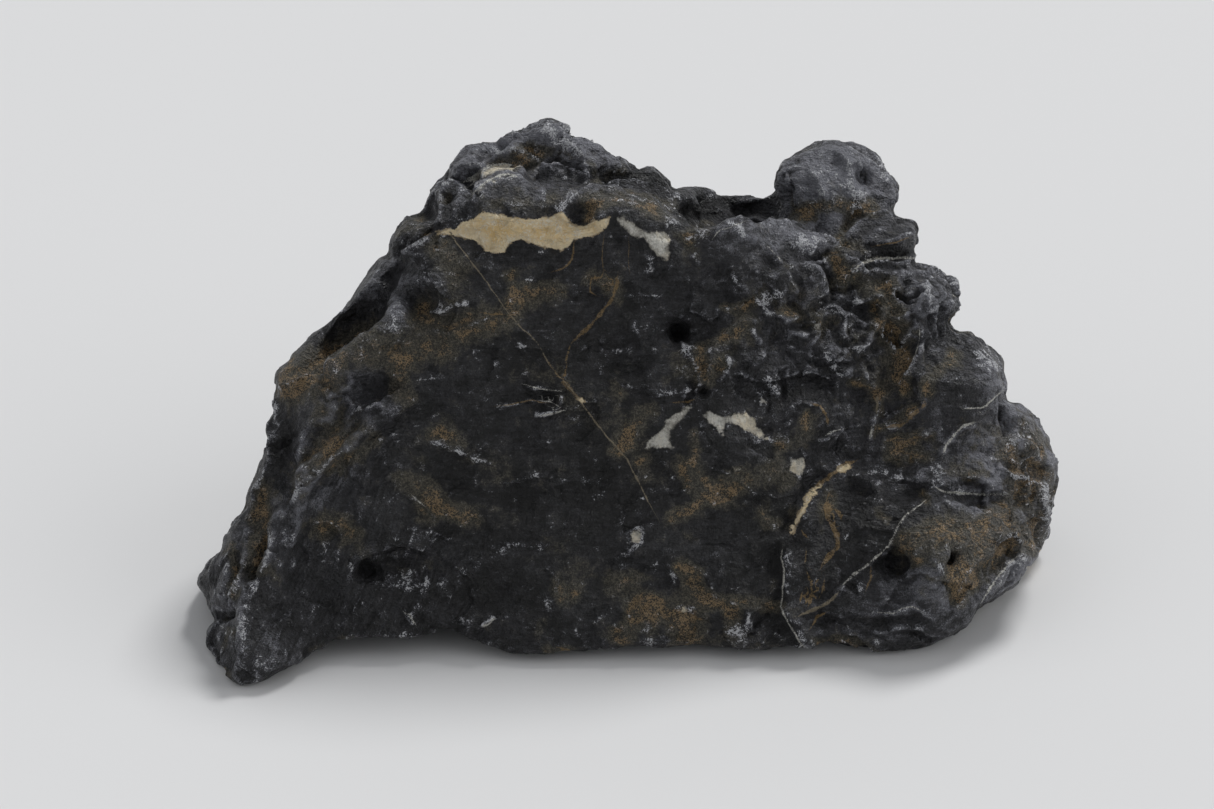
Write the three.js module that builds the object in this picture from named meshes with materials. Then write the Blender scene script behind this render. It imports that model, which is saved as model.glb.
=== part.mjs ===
// Black limestone aquarium rock: one water-worn piece, 290 mm long, that stands on its own foot and belly.
//
// The stone is described in its face frame. The broad front face leans back by FACE_LEAN degrees: u runs
// along it to the right, v up it and w square out of it. Facets, lumps, ledges and pits are placed there,
// in millimetres, and make one signed distance, negative inside the stone. That distance is sampled on a grid,
// turned into a closed surface with one point per cell, and thinned where the stone is flat.

import * as THREE from "three";
import { ImprovedNoise } from "three/addons/math/ImprovedNoise.js";
import { SimplifyModifier } from "three/addons/modifiers/SimplifyModifier.js";
import { mergeVertices } from "three/addons/utils/BufferGeometryUtils.js";

// Driving dimensions, millimetres and degrees.
const FACE_LEAN = 27; // the broad face leans back this far
const FACE_HEIGHT = 54.5; // the face frame's origin lies this far above the ground
const FLARE = 1 / 930; // the outline opens by this share for each millimetre further back
const TRIANGLES = 9900; // what the finished solid may hold
const CELL = 2.5; // sampling grid
const FLATTEN = 0.6; // whatever lies nearer the ground than this rests on it
const HEART = [0, 0, 50]; // a point deep inside the stone
const REACH = { low: [-155, -110, -5], high: [170, 90, 165] }; // the box that is sampled

// The stone's outline seen square to its face, clockwise from the tip of the left foot.
const OUTLINE = [
  [-124, -96], [-131, -92], [-137, -86], [-136, -79], [-134, -72], [-134, -66], [-137, -60], [-134, -53],
  [-130, -49], [-128, -43], [-123, -35], [-120, -26], [-115, -15], [-112, -6], [-112, 7], [-109, 12],
  [-104, 19], [-90, 34], [-80, 47], [-73, 54], [-70, 60], [-66, 63], [-62, 64.5], [-58.5, 73],
  [-53, 80], [-47, 86], [-39, 87], [-36, 91], [-29, 94.5], [-21.5, 98], [-17, 96], [-12, 91], [-6, 87.5], [3, 82.5], [10, 79],
  [15, 80], [21, 78], [23, 74], [30, 72.5], [46, 73], [55, 75], [57, 80], [62, 84], [70, 88], [78, 89.5],
  [86, 87], [92, 83.5], [94, 79], [98, 74], [99.5, 64], [103, 62], [105, 50], [114, 46], [117, 39],
  [118.5, 34], [117, 27], [127, 21], [131, 18], [134.5, 11], [135.5, 3], [142, -3], [149, -12],
  [151.5, -22], [152.5, -36], [150, -46], [138, -60], [130, -66], [121, -75], [110, -81], [99, -84.5],
  [87, -86], [70, -84], [58, -82.5], [42, -85], [32, -86.5], [15, -85], [0, -84], [-24, -86], [-38, -85],
  [-50, -81], [-66, -79],
  [-90, -79.5], [-97, -82.5], [-104, -88], [-112, -90], [-118, -95],
];
const OUTLINE_BLEND = 3.5; // how gently the outline rounds into the faces
const OUTLINE_SPARE = 1; // what that rounding would otherwise take off the outline
const TAPER = { from: -14, slope: 0.42 }; // further back than this the outline closes in

// Flat facets that bound the body: a point on each, and its outward normal, in the face frame.
const FACETS = [
  { name: "main face", at: [-30, -10, 50], out: [-0.01, -0.05, 1] },
  { name: "right of the face", at: [62, 0, 48], out: [0.36, 0.04, 0.93] },
  { name: "plateau behind the cap", at: [-20, 74, 50], out: [0.2, 0.96, 0.2] },
  { name: "left flank", at: [-113, -46, 45], out: [-0.8, 0.1, 0.6] },
  { name: "above the ledge", at: [-95, 17, 43], out: [-0.55, 0.51, 0.66] },
  { name: "lower right underside", at: [130, -66, 6], out: [0.6, -0.78, -0.15] },
];
const FACET_BLEND = 6;

// The facet that trims the foot and the left flank once they have grown out of the body.
const LATE_FACET = { at: [-126, -85, 60], out: [-0.82, 0.21, 0.53] };
const LATE_BLEND = 3;

// Flat facets at the back and below, upright in the ground frame: x right, y towards the back, z up.
const GROUND_FACETS = [
  { name: "back wall", at: [0, 60, 50], out: [0.05, 0.98, 0.12] },
  { name: "back left", at: [-78, 32, 50], out: [-0.62, 0.74, 0.25] },
  { name: "back right", at: [96, 38, 50], out: [0.55, 0.78, 0.3] },
  { name: "back slope", at: [10, 50, 108], out: [0.1, 0.7, 0.7] },
  { name: "back undercut", at: [0, 56, 14], out: [0, 0.72, -0.69] },
  { name: "underside", at: [0, 0, 1.4], out: [0.01, 0, -1] },
];

// Rough boulders that the stone is built up from, in the face frame. half holds the half sizes along u, v
// and w, turn is about w in degrees, spin tells one boulder's own facets from another's, and blend is how
// softly it runs into what it grows from.
const LUMPS = [
  { name: "back ridge", at: [38, 44, -16], half: [72, 35, 34], turn: 0, spin: 1, blend: 7 },
  { name: "peak", at: [-22, 72, 8], half: [40, 34, 29], turn: -6, spin: 2.2, blend: 4 },
  { name: "peak shoulder", at: [-50, 72, 20], half: [20, 19, 20], turn: 30, spin: 3, blend: 3 },
  { name: "step right of the peak", at: [13, 69, 6], half: [12, 16, 18], turn: 0, spin: 0.5, blend: 3 },
  { name: "cap layer", at: [-16, 63, 40], half: [44, 13, 17], turn: -3, spin: 4.1, blend: 3 },
  { name: "lip of the hollow", at: [56, 44, 26], half: [24, 19, 22], turn: -6, spin: 5, blend: 4 },
  { name: "knob", at: [78, 66, -8], half: [27, 30, 29], turn: 0, spin: 0.9, blend: 2.5 },
  { name: "lens under the knob", at: [92, 56, 10], half: [18, 8.5, 20], turn: -3, spin: 1.7, blend: 2 },
  { name: "upper right shoulder", at: [100, 31, 4], half: [25, 22, 33], turn: 8, spin: 2.7, blend: 3 },
  { name: "right block", at: [113, 3, 6], half: [30, 28, 34], turn: 12, spin: 3.9, blend: 3 },
  { name: "right end", at: [125, -28, -6], half: [35, 35, 36], turn: 0, spin: 4.6, blend: 5 },
  { name: "lower right bulge", at: [102, -54, 16], half: [46, 42, 38], turn: 12, spin: 5.7, blend: 3.5 },
  { name: "foot", at: [-121, -88, 35], half: [26, 28, 27], turn: 20, spin: 0.2, blend: 11 },
  { name: "left spur", at: [-126, -56, 16], half: [18, 24, 24], turn: 15, spin: 1.2, blend: 5 },
];

// The same at the back, in the ground frame, where turn is about the upright.
const GROUND_LUMPS = [
  { name: "back boss, left", at: [-44, 36, 66], half: [36, 30, 38], turn: 12, spin: 3.3, blend: 5 },
  { name: "back boss, right", at: [56, 40, 40], half: [42, 26, 32], turn: -8, spin: 4.4, blend: 5 },
  { name: "back foot, left", at: [-84, 18, 18], half: [34, 34, 24], turn: 25, spin: 0.7, blend: 6 },
  { name: "back foot, middle", at: [6, 44, 16], half: [44, 22, 20], turn: 0, spin: 2, blend: 5 },
  { name: "back foot, right", at: [102, 12, 18], half: [34, 32, 24], turn: -20, spin: 5.2, blend: 5 },
];
const FACET_COUNT = 16; // flat facets on each boulder
const SQUARENESS = 20; // how crisply they meet
const FACET_DEPTH = 0.94; // how near the middle they lie, as a share of half

// Rounded hollows worn into the stone, in the face frame. square is 2 for a bowl and more for a pan.
const HOLLOWS = [
  { name: "notch behind the lip", at: [46, 67, 13], half: [15, 13, 27], turn: 6, square: 2.4, blend: 3 },
  { name: "throat of the notch", at: [35, 63, 26], half: [8, 9, 24], turn: 0, square: 2, blend: 3 },
  { name: "slope into the notch", at: [28, 72, 42], half: [12, 8, 20], turn: -20, square: 2, blend: 4 },
  { name: "gap behind the cap", at: [6, 76.5, 36], half: [12, 3.5, 14], turn: -4, square: 2, blend: 1.5 },
  { name: "scoop above the ledge", at: [-83, 29, 44], half: [28, 7.5, 14], turn: 47, square: 2, blend: 5 },
  { name: "dip below the ledge", at: [-92, 1, 57], half: [24, 13, 10], turn: 22, square: 2, blend: 3 },
  { name: "upper left pit", at: [-64.5, 35, 53], half: [6.5, 8, 9], turn: -20, square: 2, blend: 2 },
  { name: "lower left pit", at: [-78, 4, 50], half: [8, 4.5, 6], turn: 15, square: 2, blend: 2 },
  { name: "round pit", at: [24.8, 24, 50], half: [4.4, 4.4, 10], turn: 0, square: 2, blend: 1 },
  { name: "scallop in the cap", at: [-8.5, 65, 60], half: [6, 6, 6], turn: 0, square: 2, blend: 1 },
  { name: "long recess", at: [-70, -55, 51], half: [15, 5, 7], turn: 3, square: 2.2, blend: 2 },
  { name: "hole in the recess", at: [-81, -56, 45], half: [5.5, 3.4, 7], turn: 10, square: 2, blend: 2 },
  { name: "pit in the bulge", at: [97, -54, 51], half: [5.5, 4, 8], turn: 0, square: 2, blend: 1.5 },
  { name: "small pit in the bulge", at: [115, -52, 46], half: [3.4, 3.2, 5], turn: 0, square: 2, blend: 1.5 },
  { name: "pit by the right end", at: [124, -26, 40], half: [5, 4, 6], turn: -20, square: 2, blend: 1.5 },
  { name: "pit in the shoulder", at: [88, 32, 39], half: [5, 3.6, 6], turn: 10, square: 2, blend: 1.5 },
  { name: "pit in the knob", at: [87, 77, 15], half: [3, 3, 5], turn: 0, square: 2, blend: 1 },
];

// The same in the ground frame.
const GROUND_HOLLOWS = [
  { name: "arch behind the foot", at: [-67, -72, -2], half: [35, 44, 8.5], turn: 4, square: 2.6, blend: 3 },
  { name: "hollow belly", at: [6, -14, -4], half: [78, 34, 12], turn: 0, square: 2.2, blend: 4 },
  { name: "back cleft", at: [6, 68, 76], half: [13, 16, 34], turn: 15, square: 2, blend: 5 },
  { name: "back pan", at: [-74, 60, 52], half: [18, 14, 15], turn: 30, square: 2, blend: 5 },
  { name: "back pit", at: [62, 72, 52], half: [8, 12, 6], turn: 0, square: 2, blend: 2 },
  { name: "small back pit", at: [-30, 70, 46], half: [5, 9, 5], turn: 0, square: 2, blend: 1.5 },
];

// Ridges, each a rounded bead that stands half out of the face.
const RIDGES = [
  { name: "edge of the left flank", radius: 8, blend: 6,
    through: [[-122, -68, 46], [-113, -46, 43], [-104, -29, 43], [-90, -16, 44], [-68, 0, 44]] },
  { name: "ochre ledge", radius: 7, blend: 5,
    through: [[-106, 9, 36], [-92, 14, 41], [-76, 22, 43], [-58, 20, 44], [-34, 27, 44]] },
  { name: "edge of the scoop", radius: 6, blend: 4,
    through: [[-76, 24, 42], [-70, 40, 43], [-63, 55, 44], [-52, 68, 40]] },
  { name: "outer flank rib", radius: 4.5, blend: 3,
    through: [[-131, -74, 43], [-125, -50, 40], [-117, -22, 37], [-110, 0, 37]] },
];

// Creases, worn in as narrow valleys.
const CREASES = [
  { name: "left of the bulge", radius: 3.2, blend: 3,
    through: [[65, -81, 50], [58.5, -70, 52], [59, -50, 53], [66, -32, 51], [78, -20, 46], [90, -8, 40]] },
  { name: "between face and right block", radius: 2.8, blend: 3,
    through: [[90, -8, 40], [93, 8, 39], [89, 24, 41]] },
  { name: "over the bulge", radius: 2.5, blend: 2,
    through: [[88, -16, 39], [98, -26, 42], [112, -28, 43], [124, -31, 41], [143, -31, 26]] },
  { name: "slanting across the upper right", radius: 2.4, blend: 2.5,
    through: [[60, 46, 50], [68, 34, 47], [76, 18, 44], [84, 8, 41], [90, -2, 40]] },
  { name: "under the lip", radius: 2.4, blend: 2,
    through: [[40, 50, 54], [52, 54, 52], [61, 49, 49], [76, 52, 42]] },
  { name: "behind the cap layer", radius: 2.6, blend: 2,
    through: [[-56, 73, 36], [-44, 81, 39], [-30, 81, 41], [-22, 77, 45], [-6, 78, 38]] },
  { name: "under the lens", radius: 2.2, blend: 2,
    through: [[84, 47.5, 41], [96, 49.5, 37], [109, 48, 27]] },
];

// Weathering: [wavelength, height] of each layer of waves laid over the surface.
const WAVES = [[56, 3.6], [27, 2.4], [13.5, 1.5]];
const RIDGED_WAVE = [21, 2.5];
const CHIP = { spacing: 24, slope: 0.13, step: 0.6 }; // flat chips, and how far each tips and stands out
const FACE_CALM = { from: 8, to: 42, share: 0.6 }; // towards the front the weathering fades to this share
const WANDER = { wavelength: 30, depth: 8 }; // how the sides dip in between the points on the outline

const radians = THREE.MathUtils.degToRad;
const leanSin = Math.sin(radians(FACE_LEAN));
const leanCos = Math.cos(radians(FACE_LEAN));
const noise = new ImprovedNoise();

// A ground point as [u, v, w] in the face frame, with the outline's flare taken out.
function toFace(x, y, z) {
  const up = z - FACE_HEIGHT;
  const w = up * leanSin - y * leanCos;
  const flare = 1 / (1 - w * FLARE);
  return [x * flare, (y * leanSin + up * leanCos) * flare, w];
}

const smoothMin = (a, b, blend) => {
  const share = Math.max(blend - Math.abs(a - b), 0) / blend;
  return Math.min(a, b) - (share * share * blend) / 4;
};
const smoothMax = (a, b, blend) => -smoothMin(-a, -b, blend);

// Directions spread evenly over a ball, tipped over by an angle of their own.
function spread(count, spin) {
  const directions = [];
  for (let i = 0; i < count; i++) {
    const height = 1 - (2 * i + 1) / count;
    const flat = Math.sqrt(1 - height * height);
    const angle = i * Math.PI * (3 - Math.sqrt(5));
    const direction = new THREE.Vector3(flat * Math.cos(angle), flat * Math.sin(angle), height);
    directions.push(direction.applyEuler(new THREE.Euler(spin, 2 * spin, 3 * spin)).toArray());
  }
  return directions;
}

function prepare(form) {
  const turn = radians(form.turn);
  const normals = form.square ? [] : spread(FACET_COUNT, form.spin);
  return { ...form, cos: Math.cos(turn), sin: Math.sin(turn), least: Math.min(...form.half), normals };
}

// A point measured along a form's own axes, as shares of its half sizes.
function inForm(form, p) {
  const a = p[0] - form.at[0];
  const b = p[1] - form.at[1];
  return [
    (a * form.cos + b * form.sin) / form.half[0],
    (b * form.cos - a * form.sin) / form.half[1],
    (p[2] - form.at[2]) / form.half[2],
  ];
}

// Distance to a boulder with flat facets, close enough to true near its surface.
function boulderDistance(form, p) {
  const q = inForm(form, p);
  const size = Math.hypot(...q);
  if (size > 2.2) return (size - 1) * form.least;
  const slope = [0, 0, 0];
  let sum = 0;
  for (const normal of form.normals) {
    const t = (q[0] * normal[0] + q[1] * normal[1] + q[2] * normal[2]) / FACET_DEPTH;
    if (t <= 0) continue;
    const weight = t ** (SQUARENESS - 1);
    sum += weight * t;
    for (let axis = 0; axis < 3; axis++) {
      slope[axis] += (weight * normal[axis]) / FACET_DEPTH / form.half[axis];
    }
  }
  const reach = sum ** (1 / SQUARENESS);
  return ((reach - 1) * sum) / Math.max(reach * Math.hypot(...slope), 1e-9);
}

// Distance to a rounded hollow.
function hollowDistance(form, p) {
  const q = inForm(form, p).map(Math.abs);
  const reach = (q[0] ** form.square + q[1] ** form.square + q[2] ** form.square) ** (1 / form.square);
  const stretched = Math.hypot(...q.map((value, axis) => value / form.half[axis]));
  const steepness = stretched / Math.max(Math.hypot(...q), 1e-6);
  return (reach - 1) / Math.max(steepness, 1e-6);
}

function facetDistance(facet, p) {
  const [a, b, c] = facet.out;
  const length = Math.hypot(a, b, c);
  return ((p[0] - facet.at[0]) * a + (p[1] - facet.at[1]) * b + (p[2] - facet.at[2]) * c) / length;
}

// Distance to a line through points, less its radius.
function beadDistance(bead, p) {
  let best = Infinity;
  for (let i = 1; i < bead.through.length; i++) {
    const a = bead.through[i - 1];
    const along = bead.through[i].map((value, axis) => value - a[axis]);
    const from = p.map((value, axis) => value - a[axis]);
    const dot = along[0] * from[0] + along[1] * from[1] + along[2] * from[2];
    const share = THREE.MathUtils.clamp(dot / (along[0] ** 2 + along[1] ** 2 + along[2] ** 2), 0, 1);
    best = Math.min(best, Math.hypot(...from.map((value, axis) => value - share * along[axis])));
  }
  return best - bead.radius;
}

// Signed distance to the outline in the face, negative inside.
function outlineDistance(u, v) {
  let best = Infinity;
  let inside = false;
  for (let i = 0, j = OUTLINE.length - 1; i < OUTLINE.length; j = i++) {
    const [au, av] = OUTLINE[j];
    const [bu, bv] = OUTLINE[i];
    const share = THREE.MathUtils.clamp(
      ((u - au) * (bu - au) + (v - av) * (bv - av)) / ((bu - au) ** 2 + (bv - av) ** 2), 0, 1);
    best = Math.min(best, Math.hypot(u - au - share * (bu - au), v - av - share * (bv - av)));
    if (av > v !== bv > v && u < ((bu - au) * (v - av)) / (bv - av) + au) inside = !inside;
  }
  return inside ? -best : best;
}

// A number from 0 to 1 that belongs to a cell of space.
function chance(i, j, k, which) {
  const scrambled = Math.sin(i * 127.1 + j * 311.7 + k * 74.7 + which * 269.5) * 43758.5453;
  return scrambled - Math.floor(scrambled);
}

// Height of the flat chips: space is shared out among scattered seeds, and each tips its own part of the
// surface.
function chips(x, y, z) {
  const [ci, cj, ck] = [x, y, z].map((value) => Math.floor(value / CHIP.spacing));
  let nearest = Infinity;
  let height = 0;
  for (let i = ci - 1; i <= ci + 1; i++)
    for (let j = cj - 1; j <= cj + 1; j++)
      for (let k = ck - 1; k <= ck + 1; k++) {
        const dx = x - (i + chance(i, j, k, 0)) * CHIP.spacing;
        const dy = y - (j + chance(i, j, k, 1)) * CHIP.spacing;
        const dz = z - (k + chance(i, j, k, 2)) * CHIP.spacing;
        const distance = dx * dx + dy * dy + dz * dz;
        if (distance >= nearest) continue;
        nearest = distance;
        const [a, b, c, out] = [3, 4, 5, 6].map((which) => chance(i, j, k, which) - 0.5);
        const tip = dx * a + dy * b + dz * c;
        height = 2 * CHIP.slope * tip + CHIP.step * out;
      }
  return height;
}

// Height of the weathering at a ground point.
function weathering(x, y, z) {
  let height = chips(x, y, z);
  for (const [length, amount] of WAVES) {
    height += amount * noise.noise(x / length + 3.1, y / length + 7.7, z / length + 1.3);
  }
  const [length, amount] = RIDGED_WAVE;
  const fold = Math.abs(noise.noise(x / length, y / length + 4.2, z / length + 9.4));
  return height + amount * (0.4 - 2 * fold);
}

// How far the sides lie in from the outline at a ground point.
function wander(x, y, z) {
  const length = WANDER.wavelength;
  return Math.max(WANDER.depth * noise.noise(x / length + 5.5, y / length, z / length + 2.2), 0);
}

const lumps = LUMPS.map(prepare);
const groundLumps = GROUND_LUMPS.map(prepare);
const hollows = HOLLOWS.map(prepare);
const groundHollows = GROUND_HOLLOWS.map(prepare);

// Signed distance from a ground point to the stone's surface, negative inside.
function stone(x, y, z) {
  const p = toFace(x, y, z);
  const ground = [x, y, z];
  const rim = outlineDistance(p[0], p[1]);
  if (rim > 12) return rim;
  let d = -100;
  for (const facet of FACETS) d = smoothMax(d, facetDistance(facet, p), FACET_BLEND);
  for (const facet of GROUND_FACETS) d = smoothMax(d, facetDistance(facet, ground), FACET_BLEND);
  for (const lump of lumps) d = smoothMin(d, boulderDistance(lump, p), lump.blend);
  for (const lump of groundLumps) d = smoothMin(d, boulderDistance(lump, ground), lump.blend);
  d = smoothMax(d, facetDistance(LATE_FACET, p), LATE_BLEND);
  for (const ridge of RIDGES) d = smoothMin(d, beadDistance(ridge, p), ridge.blend);
  for (const crease of CREASES) d = smoothMax(d, -beadDistance(crease, p), crease.blend);
  for (const hollow of hollows) d = smoothMax(d, -hollowDistance(hollow, p), hollow.blend);
  for (const hollow of groundHollows) d = smoothMax(d, -hollowDistance(hollow, ground), hollow.blend);
  const calm = THREE.MathUtils.smoothstep(p[2], FACE_CALM.from, FACE_CALM.to);
  d -= weathering(x, y, z) * THREE.MathUtils.lerp(1, FACE_CALM.share, calm);
  const closing = Math.max(TAPER.from - p[2], 0) * TAPER.slope;
  d = smoothMax(d, rim - OUTLINE_SPARE + closing + wander(x, y, z), OUTLINE_BLEND);
  return Math.max(d, -z);
}

// Moves every grid point that can't be reached from the start, through points on its own side of the
// surface, over to the other side. From outside this fills sealed bubbles, and from inside it drops loose
// crumbs.
function joinUp(values, step, start) {
  const inside = values[start] < 0;
  const reached = new Uint8Array(values.length);
  const open = [start];
  while (open.length) {
    const n = open.pop();
    if (reached[n] || values[n] < 0 !== inside) continue;
    reached[n] = 1;
    for (const stride of step) {
      if (n >= stride) open.push(n - stride);
      if (n + stride < values.length) open.push(n + stride);
    }
  }
  values.forEach((value, n) => {
    if (value < 0 === inside && !reached[n]) values[n] = inside ? 0.02 : -0.02;
  });
}

// Evens out the sampled distances a little, which takes off anything thinner than a cell.
function soften(values, step) {
  for (const stride of step) {
    const before = values.slice();
    for (let n = stride; n < values.length - stride; n++) {
      values[n] = (before[n - stride] + 4 * before[n] + before[n + stride]) / 6;
    }
  }
}

// Whether a cell with these corners inside holds two separate pieces of the surface.
function splitsApart(mask) {
  return [mask, 255 - mask].some((side) => {
    let joined = side & -side;
    for (let pass = 0; pass < 8; pass++)
      for (let corner = 0; corner < 8; corner++) {
        const touches = [1, 2, 4].some((axis) => (joined >> (corner ^ axis)) & 1);
        if ((side >> corner) & 1 && touches) joined |= 1 << corner;
      }
    return joined !== side;
  });
}

// Fills corners until no cell holds two separate pieces, so that the surface never meets itself.
function closePinches(values, offsets) {
  const apart = Array.from({ length: 256 }, (_, mask) => splitsApart(mask));
  for (let filled = true; filled; ) {
    filled = false;
    for (let base = 0; base < values.length - offsets[7]; base++) {
      let mask = 0;
      offsets.forEach((offset, corner) => {
        if (values[base + offset] < 0) mask |= 1 << corner;
      });
      if (!apart[mask]) continue;
      const outside = offsets.map((offset) => base + offset).filter((n) => values[n] >= 0);
      outside.sort((one, two) => values[one] - values[two]);
      values[outside[0]] = -0.02;
      filled = true;
    }
  }
}

// A closed surface round the places where the field is negative: one point in each grid cell that the
// surface crosses, at the mean of its edge crossings, and a square between the four cells round each
// crossed edge.
function surfaceOf(field, low, high, cell) {
  const count = low.map((value, axis) => Math.ceil((high[axis] - value) / cell) + 1);
  const step = [1, count[0], count[0] * count[1]];
  const values = new Float32Array(step[2] * count[2]);
  for (let k = 0, n = 0; k < count[2]; k++)
    for (let j = 0; j < count[1]; j++)
      for (let i = 0; i < count[0]; i++, n++)
        values[n] = field(low[0] + i * cell, low[1] + j * cell, low[2] + k * cell);

  const heart = low.map((value, axis) => Math.round((HEART[axis] - value) / cell) * step[axis]);
  soften(values, step);
  joinUp(values, step, 0);
  joinUp(values, step, heart[0] + heart[1] + heart[2]);

  const corners = [0, 1, 2, 3, 4, 5, 6, 7].map((bits) => [bits & 1, (bits >> 1) & 1, bits >> 2]);
  const offsets = corners.map(([a, b, c]) => a * step[0] + b * step[1] + c * step[2]);
  closePinches(values, offsets);
  const pointOf = new Map();
  const points = [];
  for (let k = 0; k < count[2] - 1; k++)
    for (let j = 0; j < count[1] - 1; j++)
      for (let i = 0; i < count[0] - 1; i++) {
        const base = i + j * step[1] + k * step[2];
        const sum = [0, 0, 0];
        let crossings = 0;
        for (let a = 0; a < 8; a++)
          for (let axis = 0; axis < 3; axis++) {
            if (corners[a][axis]) continue;
            const one = values[base + offsets[a]];
            const two = values[base + offsets[a] + step[axis]];
            if (one < 0 === two < 0) continue;
            crossings++;
            for (let q = 0; q < 3; q++) sum[q] += corners[a][q] + (q === axis ? one / (one - two) : 0);
          }
        if (!crossings) continue;
        pointOf.set(base, points.length / 3);
        const point = [i, j, k].map((at, axis) => low[axis] + (at + sum[axis] / crossings) * cell);
        if (point[2] < FLATTEN) point[2] = 0;
        points.push(...point);
      }

  const triangles = [];
  for (const base of pointOf.keys())
    for (let axis = 0; axis < 3; axis++) {
      const inside = values[base] < 0;
      if (inside === values[base + step[axis]] < 0) continue;
      const [b, c] = [step[(axis + 1) % 3], step[(axis + 2) % 3]];
      const ring = [base, base - b, base - b - c, base - c].map((cellBase) => pointOf.get(cellBase));
      if (!inside) ring.reverse();
      triangles.push(ring[0], ring[1], ring[2], ring[0], ring[2], ring[3]);
    }
  const geometry = new THREE.BufferGeometry();
  geometry.setAttribute("position", new THREE.Float32BufferAttribute(points, 3));
  geometry.setIndex(triangles);
  return geometry;
}

// The surface thinned to the wanted number of triangles, so that flat places keep few and ridges many.
async function thinned(geometry, triangles) {
  const share = 1 - triangles / (geometry.index.count / 3);
  return new SimplifyModifier().modify(geometry, Math.round(geometry.attributes.position.count * share));
}

// Sets the geometry with the middle of its footprint over the origin and its lowest points on the ground.
function setDown(geometry) {
  geometry.computeBoundingBox();
  const { min, max } = geometry.boundingBox;
  return geometry.translate(-(min.x + max.x) / 2, -(min.y + max.y) / 2, -min.z);
}

const limestone = new THREE.MeshStandardMaterial({ color: 0x2b2c30, roughness: 0.55, metalness: 0 });
const surface = surfaceOf(stone, REACH.low, REACH.high, CELL);
const rock = new THREE.Mesh(setDown(mergeVertices(await thinned(surface, TRIANGLES))), limestone);
rock.geometry.computeVertexNormals();
rock.name = "rock";

const aquariumRock = new THREE.Group();
aquariumRock.add(rock);

export default aquariumRock;
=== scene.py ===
"""Looks of the aquarium rock: water-worn black limestone with calcite veins and iron-oxide stains."""

import logging
import math
from collections.abc import Callable
from dataclasses import dataclass, field
from enum import Enum
from functools import partial

import bpy
import numpy as np
from mathutils import Matrix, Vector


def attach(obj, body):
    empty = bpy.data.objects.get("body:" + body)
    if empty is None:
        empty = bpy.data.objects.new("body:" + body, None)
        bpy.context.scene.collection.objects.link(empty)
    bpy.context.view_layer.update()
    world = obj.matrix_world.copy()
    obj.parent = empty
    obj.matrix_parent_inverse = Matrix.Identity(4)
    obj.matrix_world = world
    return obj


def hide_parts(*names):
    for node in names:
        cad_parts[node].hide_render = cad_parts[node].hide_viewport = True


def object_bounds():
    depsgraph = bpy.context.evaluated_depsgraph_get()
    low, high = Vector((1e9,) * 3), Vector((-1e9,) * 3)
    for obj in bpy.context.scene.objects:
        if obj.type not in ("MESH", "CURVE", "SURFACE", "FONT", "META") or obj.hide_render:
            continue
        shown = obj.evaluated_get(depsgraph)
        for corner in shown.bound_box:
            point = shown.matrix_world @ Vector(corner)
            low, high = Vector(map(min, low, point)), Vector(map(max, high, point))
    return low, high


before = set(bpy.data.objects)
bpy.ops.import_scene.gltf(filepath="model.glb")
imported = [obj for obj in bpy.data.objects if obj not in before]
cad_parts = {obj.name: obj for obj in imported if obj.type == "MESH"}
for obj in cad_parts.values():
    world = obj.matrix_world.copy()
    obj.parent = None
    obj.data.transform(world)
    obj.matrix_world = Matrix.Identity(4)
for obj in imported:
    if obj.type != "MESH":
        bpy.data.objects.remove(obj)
CAD_BOX = [list(corner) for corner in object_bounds()]

MILLIMETRE = 0.001
IMAGE_WIDTH = 1214

log = logging.getLogger("aquarium_rock")

Array = np.ndarray
Points = tuple[tuple[float, float], ...]
Socket = bpy.types.NodeSocket
Sockets = dict[str, Socket]
Maker = Callable[..., Socket]


def linear(hex_colour: str) -> tuple[float, float, float, float]:
    """Turns an sRGB hex colour to linear light.

    Args:
        hex_colour: Six hex digits after a hash.

    Returns:
        Red, green, blue and an alpha of 1.
    """
    shares = [int(hex_colour[i : i + 2], 16) / 255 for i in (1, 3, 5)]
    light = [s / 12.92 if s <= 0.04045 else ((s + 0.055) / 1.055) ** 2.4 for s in shares]
    return (*light, 1.0)


def smooth_step(low: float, high: float, values: Array) -> Array:
    """Rises gently from 0 at low to 1 at high.

    Args:
        low: Where the rise starts; may lie above high for a fall.
        high: Where the rise ends.
        values: What to look up.

    Returns:
        Shares from 0 to 1.
    """
    share = np.clip((values - low) / (high - low), 0, 1)
    return share * share * (3 - 2 * share)


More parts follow.
